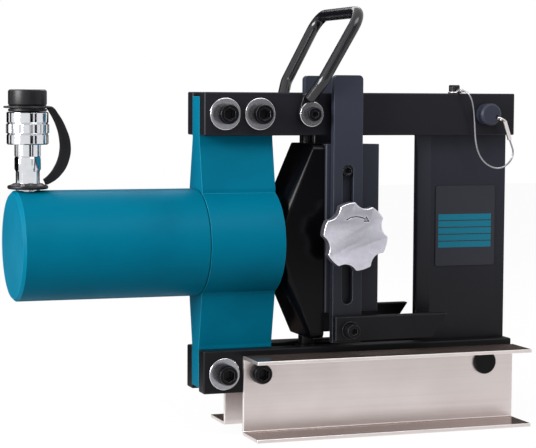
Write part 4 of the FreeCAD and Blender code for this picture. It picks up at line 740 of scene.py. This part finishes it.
def cap_screw(head_width, head_height, shank_width, socket, length, sides=60):
    radius = head_width / 2
    rim = RIM_SHARE * head_height
    straight = head_height - rim
    screw = cylinder("cap_screw", radius, straight, (0, -straight / 2, 0), "y", sides)
    choose(screw, "FACE", lambda face: face.normal.y > 0.9)
    bpy.ops.mesh.extrude_region_move(TRANSFORM_OT_translate={"value": (0, 0, 0)})
    shrink = shank_width / head_width
    bpy.ops.transform.resize(value=(shrink, 1, shrink))
    bpy.ops.mesh.extrude_region_move(TRANSFORM_OT_translate={"value": (0, length * MM, 0)})
    leave_edit()
    choose(screw, "FACE", lambda face: face.normal.y < -0.9)
    bpy.ops.mesh.extrude_region_move(TRANSFORM_OT_translate={"value": (0, -rim * MM, 0)})
    bpy.ops.transform.resize(value=(RIM_SHRINK, 1, RIM_SHRINK))
    leave_edit()
    points = screw.data.vertices

    def knurl_edge(edge):
        # Every second upright edge on the head's side.
        first, second = (points[index].co / MM for index in edge.vertices)
        upright = abs(first.y - second.y) > 0.6 * straight
        outside = all(math.hypot(end.x, end.z) > 0.97 * radius for end in (first, second))
        step = round(math.atan2(first.z, first.x) / (math.tau / sides))
        return upright and outside and step % 2 == 0

    choose(screw, "EDGE", knurl_edge)
    bpy.ops.transform.resize(value=(KNURL_SHRINK, 1, KNURL_SHRINK))
    leave_edit()
    socket_place = (0, -head_height + SOCKET_SHARE * head_height - head_height / 2, 0)
    carve(screw, cylinder("socket", socket / math.sqrt(3), head_height, socket_place, "y", 6))
    return screw


def screw_set(name, node, body, size, spots, length):
    # Each spot is (x, y of the seat, z, way): the head points forwards, backwards or up.
    ways = {"front": (0, 0, 0), "rear": (0, 0, math.pi), "up": (-math.pi / 2, 0, 0)}
    master = cap_screw(*size, length)
    copies = []
    for x, y, z, way in spots:
        only(master)
        bpy.ops.object.duplicate()
        copy = bpy.context.object
        copy.location = Vector((x, y, z)) * MM
        copy.rotation_euler = ways[way]
        copies.append(keep(name))
    bpy.data.objects.remove(master)
    whole = joined(copies, name)
    return finish_piece(whole, black_oxide, body, "black_oxide", node, smooth=25)


# %% The head's own screws
def reach(node):
    # Lowest and highest corner of a node, in millimetres.
    low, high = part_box(node)
    return Vector(low) / MM, Vector(high) / MM


# Head width, head height, shank width and socket of each size, in millimetres.
M12 = (18, 12, 12, 10)
M8 = (13, 8, 8, 6)
M6 = (10, 6, 6, 5)
M12_HEAD_RADIUS, M12_HEAD, M8_HEAD, M6_HEAD = M12[0] / 2, M12[1], M8[1], M6[1]

bolts_low, bolts_high = reach("head_bolts")
bolt_seat = bolts_low.y + M12_HEAD
bolt_left = bolts_low.x + M12_HEAD_RADIUS
bolt_right = bolts_high.x - M12_HEAD_RADIUS
upper_z = bolts_high.z - M12_HEAD_RADIUS
lower_z = bolts_low.z + M12_HEAD_RADIUS
screw_set("head_cap_screws", "head_bolts", "frame", M12, [
    (bolt_left, bolt_seat, upper_z, "front"),
    (bolt_right, bolt_seat, upper_z, "front"),
    (bolt_left, bolt_seat, lower_z, "front"),
], bolts_high.y - bolt_seat)
foot_low, foot_high = reach("foot_bolt")
foot_middle = (foot_low + foot_high) / 2
screw_set("foot_cap_screw", "foot_bolt", "frame", M12, [
    (foot_middle.x, foot_low.y + M12_HEAD, foot_middle.z, "front"),
], foot_high.y - foot_low.y - M12_HEAD)

# %% Screws of the handle, the supports, the guides and the lanyard
HANDLE_SHANK = 20.2
GUIDE_HEAD = 7
GUIDE_SHANK = 11
LANYARD_SHANK = 12
grip_low, grip_high = reach("handle_screws")
grip = (grip_low + grip_high) / 2
screw_set("handle_cap_screws", "handle_screws", "frame", M8, [
    (grip.x, grip_low.y + M8_HEAD, grip.z, "front"),
    (grip.x, grip_high.y - M8_HEAD, grip.z, "rear"),
], HANDLE_SHANK)
for side in ("front", "rear"):
    arm_low, arm_high = reach("arm_screw_" + side)
    arm = (arm_low + arm_high) / 2
    seat = arm_low.y + M8_HEAD if side == "front" else arm_high.y - M8_HEAD
    screw_set("arm_cap_screw_" + side, "arm_screw_" + side, "support_" + side, M8, [
        (arm.x, seat, arm.z, side),
    ], arm_high.y - arm_low.y - M8_HEAD)
guide_low, guide_high = reach("guide_screws")
guide = (guide_low + guide_high) / 2
guide_size = (guide_high.x - guide_low.x, GUIDE_HEAD, M8[2], M8[3])
screw_set("guide_cap_screws", "guide_screws", "ram", guide_size, [
    (guide.x, guide_low.y + GUIDE_HEAD, guide.z, "front"),
    (guide.x, guide_high.y - GUIDE_HEAD, guide.z, "rear"),
], GUIDE_SHANK)
eye_low, eye_high = reach("lanyard_screw")
eye = (eye_low + eye_high) / 2
screw_set("lanyard_cap_screw", "lanyard_screw", "frame", M6, [
    (eye.x, eye.y, eye_high.z - M6_HEAD, "up"),
], LANYARD_SHANK)

# %% [markdown]
# ## Dust cap, strap and neck ring
#
# All three are moulded rubber. The cap is turned up from its plug: a lip, the flange that the
# strap's loop grips, and a ribbed grip with a soft top edge. The strap is a flat band cut to a C,
# so it is drawn as one closed outline, filled and given its thickness.

# %% Dust cap
CAP_SIDES = 144
CAP_PLUG = 10.0
PLUG_RADIUS = 6.2
RIB_SHRINK = 0.984
# Radius and height above the plug, up to the grip's top edge.
CAP_PROFILE_MM = [
    (15.6, 0.0), (16.4, 0.6), (16.4, 2.2), (15.2, 2.5), (15.2, 2.9), (19.6, 2.9), (20.3, 3.2),
    (20.5, 3.7), (20.3, 4.3), (19.6, 4.6), (16.3, 4.9), (15.7, 5.4), (16.3, 6.0), (16.5, 6.4),
    (16.5, 16.9), (16.2, 17.8), (15.4, 18.5),
]
cap_low, cap_high = reach("dust_cap")
cap_top = cap_high.z - cap_low.z
port_x = (cap_low.x + cap_high.x) / 2
cap_profile = [(PLUG_RADIUS, 0), (PLUG_RADIUS, CAP_PLUG)]
cap_profile += [(radius, CAP_PLUG + height) for radius, height in CAP_PROFILE_MM]
cap_profile += [(14.2, cap_top), (12.8, cap_top)]
dust_cap_piece = turned("ribbed_dust_cap", cap_profile, (port_x, 0, cap_low.z), CAP_SIDES)
cap_points = dust_cap_piece.data.vertices


def grip_edge(edge):
    # Every second upright edge of the grip, which is its only long and wide band.
    first, second = (cap_points[index].co / MM for index in edge.vertices)
    long = abs(first.z - second.z) > 8
    outside = math.hypot(first.x - port_x, first.y) > 16
    step = round(math.atan2(first.y, first.x - port_x) / (math.tau / CAP_SIDES))
    return long and outside and step % 2 == 0


choose(dust_cap_piece, "EDGE", grip_edge)
bpy.ops.transform.resize(value=(RIB_SHRINK, RIB_SHRINK, 1))
leave_edit()
finish_piece(dust_cap_piece, nitrile, "cap", "rubber", "dust_cap", smooth=30)

# %% Cap strap
# The outline's points in X and Z, and True where it turns a corner.
STRAP_OUTLINE_MM = [
    (-196.5, 290.0, True), (-193.6, 289.6, False), (-188.3, 283.6, False), (-181.6, 271.6, False),
    (-177.6, 258.0, False), (-178.8, 244.2, False), (-185.6, 231.6, False), (-196.6, 223.4, False),
    (-199.4, 222.6, True), (-201.6, 227.6, True), (-198.6, 229.6, False), (-191.4, 239.0, False),
    (-187.4, 251.0, False), (-187.6, 263.0, False), (-190.8, 274.6, False), (-196.6, 285.6, False),
    (-198.2, 287.8, True),
]
STRAP_THICKNESS = 3.2
STRAP_ROUND = 0.6
strap_outline = bpy.data.curves.new("strap_outline", "CURVE")
strap_outline.dimensions = "2D"
strap_outline.fill_mode = "BOTH"
strap_outline.extrude = (STRAP_THICKNESS / 2 - STRAP_ROUND) * MM
strap_outline.bevel_depth = STRAP_ROUND * MM
strap_outline.bevel_resolution = 2
strap_outline.offset = -STRAP_ROUND * MM
strap_spline = strap_outline.splines.new("BEZIER")
strap_spline.bezier_points.add(len(STRAP_OUTLINE_MM) - 1)
for point, (x, z, corner) in zip(strap_spline.bezier_points, STRAP_OUTLINE_MM):
    point.co = (x * MM, z * MM, 0)
    point.handle_left_type = point.handle_right_type = "VECTOR" if corner else "AUTO"
strap_spline.use_cyclic_u = True
strap_spline.resolution_u = 8
cap_strap_piece = bpy.data.objects.new("flat_cap_strap", strap_outline)
bpy.context.collection.objects.link(cap_strap_piece)
cap_strap_piece.rotation_euler = (math.pi / 2, 0, 0)
only(cap_strap_piece)
bpy.ops.object.convert(target="MESH")
cap_strap_piece = keep("flat_cap_strap")
bpy.ops.object.mode_set(mode="EDIT")
bpy.ops.mesh.select_all(action="SELECT")
bpy.ops.mesh.remove_doubles(threshold=0.01 * MM)
bpy.ops.mesh.normals_make_consistent(inside=False)
leave_edit()
finish_piece(cap_strap_piece, nitrile, None, "rubber", "cap_strap", smooth=50)
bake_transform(cap_strap_piece)

# %% Neck ring
ring_low, ring_high = reach("strap_ring")
ring_height = ring_high.z - ring_low.z
RING_PROFILE_MM = [
    (14.6, 0), (16.6, 0.3), (17.3, 1.0), (17.5, 1.9), (17.2, 2.8), (16.4, 3.4), (14.8, 3.8),
    (13.2, 4.4), (12.6, 5.0),
]
NECK_HOLE_RADIUS = 10.55
# The ring sits 0.4 mm lower than the CAD ring, still clear of the barrel.
neck_ring = turned("neck_ring", RING_PROFILE_MM, (port_x, 0, ring_low.z - 0.4), 72)
neck_hole = cylinder(
    "neck_hole", NECK_HOLE_RADIUS, 3 * ring_height, (port_x, 0, ring_low.z), "z", 72)
carve(neck_ring, neck_hole)
finish_piece(neck_ring, nitrile, "frame", "rubber", "strap_ring", smooth=50)

# %% [markdown]
# ## Coupler body
#
# The coupler's body is turned from hexagon bar: a round neck below, the wrench flats with a chamfer
# at each end that leaves curved scallops, and a round body that runs up into the collar. The bar is
# a six-sided cylinder, kept only where it meets a turned shape, so that the scallops come out where
# a lathe leaves them. The neck and the socket follow.

# %% Coupler body
body_low, body_high = reach("coupler_body")
BARREL_TOP = 218.0
HEX_LOW = 234.4
HEX_HIGH = 247.6
HEX_ACROSS_FLATS = 20.2
COLLAR_LOW = 257.4
SOCKET_RADIUS = 6.5
SOCKET_LENGTH = 30
hex_middle = (port_x, 0, (HEX_LOW + HEX_HIGH) / 2)
hex_bar = cylinder(
    "coupler_neck", HEX_ACROSS_FLATS / math.sqrt(3), HEX_HIGH - HEX_LOW, hex_middle, "z", 6)
only(hex_bar)
bpy.ops.object.mode_set(mode="EDIT")
bpy.ops.mesh.select_all(action="SELECT")
# With no window the operator turns the other way, so this is 8 degrees anticlockwise from above.
bpy.ops.transform.rotate(
    value=math.radians(-8), orient_axis="Z", center_override=(port_x * MM, 0, HEX_LOW * MM))
leave_edit()
chamfers = turned("chamfers", [
    (9.9, HEX_LOW - 0.5), (11.35, HEX_LOW + 2.2), (11.35, HEX_HIGH - 2.2), (10.0, HEX_HIGH + 0.5),
], (port_x, 0, 0), 96)
carve(hex_bar, chamfers, "INTERSECT")
spindle = turned("spindle", [
    (7.9, body_low.z), (7.9, BARREL_TOP + 0.1), (10.2, BARREL_TOP + 0.1), (10.2, HEX_LOW + 0.6),
    (9.4, HEX_LOW + 1.4), (9.4, HEX_HIGH - 1.4), (11.2, HEX_HIGH - 0.4), (11.2, COLLAR_LOW + 0.6),
    (12.2, COLLAR_LOW + 0.6), (12.2, body_high.z),
], (port_x, 0, 0), 96)
carve(hex_bar, spindle, "UNION")
socket_mouth = (port_x, 0, body_high.z)
carve(hex_bar, cylinder("coupler_socket", SOCKET_RADIUS, SOCKET_LENGTH, socket_mouth, "z", 48))
finish_piece(hex_bar, bright_chrome, "frame", "chrome", "coupler_body", smooth=30)

# %% [markdown]
# ## Return spring
#
# Inside the barrel a coil spring round the rod pushes the piston back. A real one is wound from
# wire on a mandrel, so a NURBS helix with a round bevel is the same idea. It rides on the frame.

# %% Return spring
spring_low, spring_high = reach("return_spring")
SPRING_TURNS = 11
POINTS_PER_TURN = 12
SPRING_WIRE = 4.6
SPRING_PLAY = 0.1
spring_length = spring_high.x - spring_low.x
spring_z = (spring_low.z + spring_high.z) / 2
coil_radius = (spring_high.z - spring_low.z) / 2 - SPRING_WIRE / 2 - SPRING_PLAY
coil_start = spring_low.x + SPRING_WIRE / 2 + SPRING_PLAY
coil_length = spring_length - SPRING_WIRE - 2 * SPRING_PLAY
coil_steps = SPRING_TURNS * POINTS_PER_TURN
coil_points = []
for step in range(coil_steps + 1):
    turn = math.tau * step / POINTS_PER_TURN
    coil_points.append((
        coil_start + coil_length * step / coil_steps,
        coil_radius * math.cos(turn),
        spring_z + coil_radius * math.sin(turn),
    ))
coil_curve = bpy.data.curves.new("return_coil", "CURVE")
coil_curve.dimensions = "3D"
coil_curve.bevel_depth = SPRING_WIRE / 2 * MM
coil_curve.bevel_resolution = 2
coil_curve.use_fill_caps = True
coil_spline = coil_curve.splines.new("NURBS")
coil_spline.points.add(len(coil_points) - 1)
for point, spot in zip(coil_spline.points, coil_points):
    point.co = (*(Vector(spot) * MM), 1)
coil_spline.order_u = 4
coil_spline.use_endpoint_u = True
coil_spline.resolution_u = 2
return_coil = bpy.data.objects.new("return_coil", coil_curve)
bpy.context.collection.objects.link(return_coil)
only(return_coil)
bpy.ops.object.convert(target="MESH")
finish_piece(return_coil, ground_steel, "frame", "ground_steel", "return_spring", smooth=80)
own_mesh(return_coil)
print("spring length", round(spring_length, 1), "mm, coil radius", round(coil_radius, 1), "mm")

# %% [markdown]
# ## Floor, light and background
#
# A catalogue photograph: a pale sweep, a strong soft light from the left, a broad one in front and
# above, and a strip from behind. The camera and the mirror finishes see plain white, while the
# lamps stay at a level where each colour renders about as it is written. Tall dark flags stand
# outside the picture, as in a real studio, so that the chrome has dark streaks to show its
# roundness.

# %% Floor and background
SEEN_SHARE = 0.93
MIRRORED_SHARE = 0.96
SKY_ON_OBJECT = 0.5
bpy.ops.mesh.primitive_plane_add(size=8, location=(0, 0, -0.0005))
floor = bpy.context.object
floor.name = "pale_sweep"
floor_material, floor_tree = new_material("pale_paper_sweep")
floor_rays = add_node(floor_tree, "LightPath")
camera_sees = floor_rays.outputs["Is Camera Ray"]
paper_colour = shaded_between(
    floor_tree, camera_sees, 0.0, 1.0, linear("#A8A8A8"), linear("#FFFFFF"))
paper = add_node(floor_tree, "BsdfDiffuse", {"Color": paper_colour})
burnt_out = add_node(floor_tree, "Emission", {"Color": (1, 1, 1, 1), "Strength": 1.0})
camera_share = add_node(floor_tree, "Math", {
    0: camera_sees, 1: SEEN_SHARE}, operation="MULTIPLY")
mirror_share = add_node(floor_tree, "Math", {
    0: floor_rays.outputs["Is Glossy Ray"], 1: MIRRORED_SHARE}, operation="MULTIPLY")
brightness = add_node(floor_tree, "Math", {
    0: camera_share.outputs[0], 1: mirror_share.outputs[0]}, operation="MAXIMUM")
floor_shader = add_node(floor_tree, "MixShader", {
    0: brightness.outputs[0], 1: paper.outputs[0], 2: burnt_out.outputs[0]})
add_node(floor_tree, "OutputMaterial", {"Surface": floor_shader.outputs[0]})
floor.data.materials.append(floor_material)

world = bpy.data.worlds.new("studio")
bpy.context.scene.world = world
world.use_nodes = True
sky = world.node_tree
sky.nodes.clear()
rays = add_node(sky, "LightPath").outputs
seen_or_mirrored = add_node(sky, "Math", {
    0: rays["Is Camera Ray"], 1: rays["Is Glossy Ray"]}, operation="ADD")
all_clear = add_node(sky, "Math", {
    0: seen_or_mirrored.outputs[0], 1: rays["Is Transmission Ray"],
}, operation="ADD", use_clamp=True)
dim = add_node(sky, "Background", {"Color": (1, 1, 1, 1), "Strength": SKY_ON_OBJECT})
white = add_node(sky, "Background", {"Color": (1, 1, 1, 1), "Strength": 1.0})
seen = add_node(sky, "MixShader", {0: all_clear.outputs[0], 1: dim.outputs[0], 2: white.outputs[0]})
add_node(sky, "OutputWorld", {"Surface": seen.outputs[0]})


# %% Lamps
def soft_lamp(name, place, aim, size, power):
    bpy.ops.object.light_add(type="AREA", location=place)
    lamp = bpy.context.object
    lamp.name = name
    lamp.data.shape = "RECTANGLE"
    lamp.data.size, lamp.data.size_y = size
    lamp.data.energy = power
    direction = Vector(aim) - Vector(place)
    lamp.rotation_euler = direction.to_track_quat("-Z", "Y").to_euler()
    return lamp


soft_lamp("left_softbox", place=(-1.5, -0.45, 0.65), aim=(-0.1, 0, 0.17), size=(0.8, 0.8), power=36)
soft_lamp("front_softbox", place=(0.2, -0.75, 0.95), aim=(0.05, 0, 0.25), size=(0.7, 0.5), power=5)
soft_lamp("rear_strip", place=(0.2, 1.2, 1.1), aim=(0, 0, 0.25), size=(1.4, 0.3), power=5)
print("three lamps are up")

# %% Flags
flag_material, flag_tree = new_material("black_cloth_flag")
black_cloth = add_node(flag_tree, "BsdfDiffuse", {"Color": linear("#0A0A0A")})
add_node(flag_tree, "OutputMaterial", {"Surface": black_cloth.outputs[0]})


def only_in_mirrors(name):
    # Hangs cloth on the new plane, which from then on shows only in glossy reflections.
    cloth = bpy.context.object
    cloth.name = name
    cloth.data.materials.append(flag_material)
    cloth.visible_camera = False
    cloth.visible_diffuse = False
    cloth.visible_shadow = False
    return cloth


# Name, place in X and Y, and width. Each flag turns to a line a little left of the head's middle.
FLAGS = [
    ("front_flag", 0.0, -1.2, 0.36), ("right_front_flag", 0.44, -1.0, 0.26),
    ("left_flag", -1.3, 0.56, 0.28), ("rear_flag", -0.2, 1.35, 2.6),
]
FLAG_HEIGHT = 1.5
FLAG_MIDDLE = 0.8
FACED_X = -0.2
for name, x, y, width in FLAGS:
    bpy.ops.mesh.primitive_plane_add(size=1, location=(x, y, FLAG_MIDDLE))
    flag = only_in_mirrors(name)
    flag.scale = (width, FLAG_HEIGHT, 1)
    flag.rotation_euler = Vector((FACED_X - x, -y, 0)).to_track_quat("Z", "Y").to_euler()
bpy.ops.mesh.primitive_plane_add(size=1, location=(0, 0.8, 0.002))
floor_card = only_in_mirrors("floor_card")
floor_card.scale = (2.4, 1.2, 1)
print("put up", len(FLAGS), "flags and a floor card")

# %% Finish
bpy.context.scene.view_settings.view_transform = "Standard"
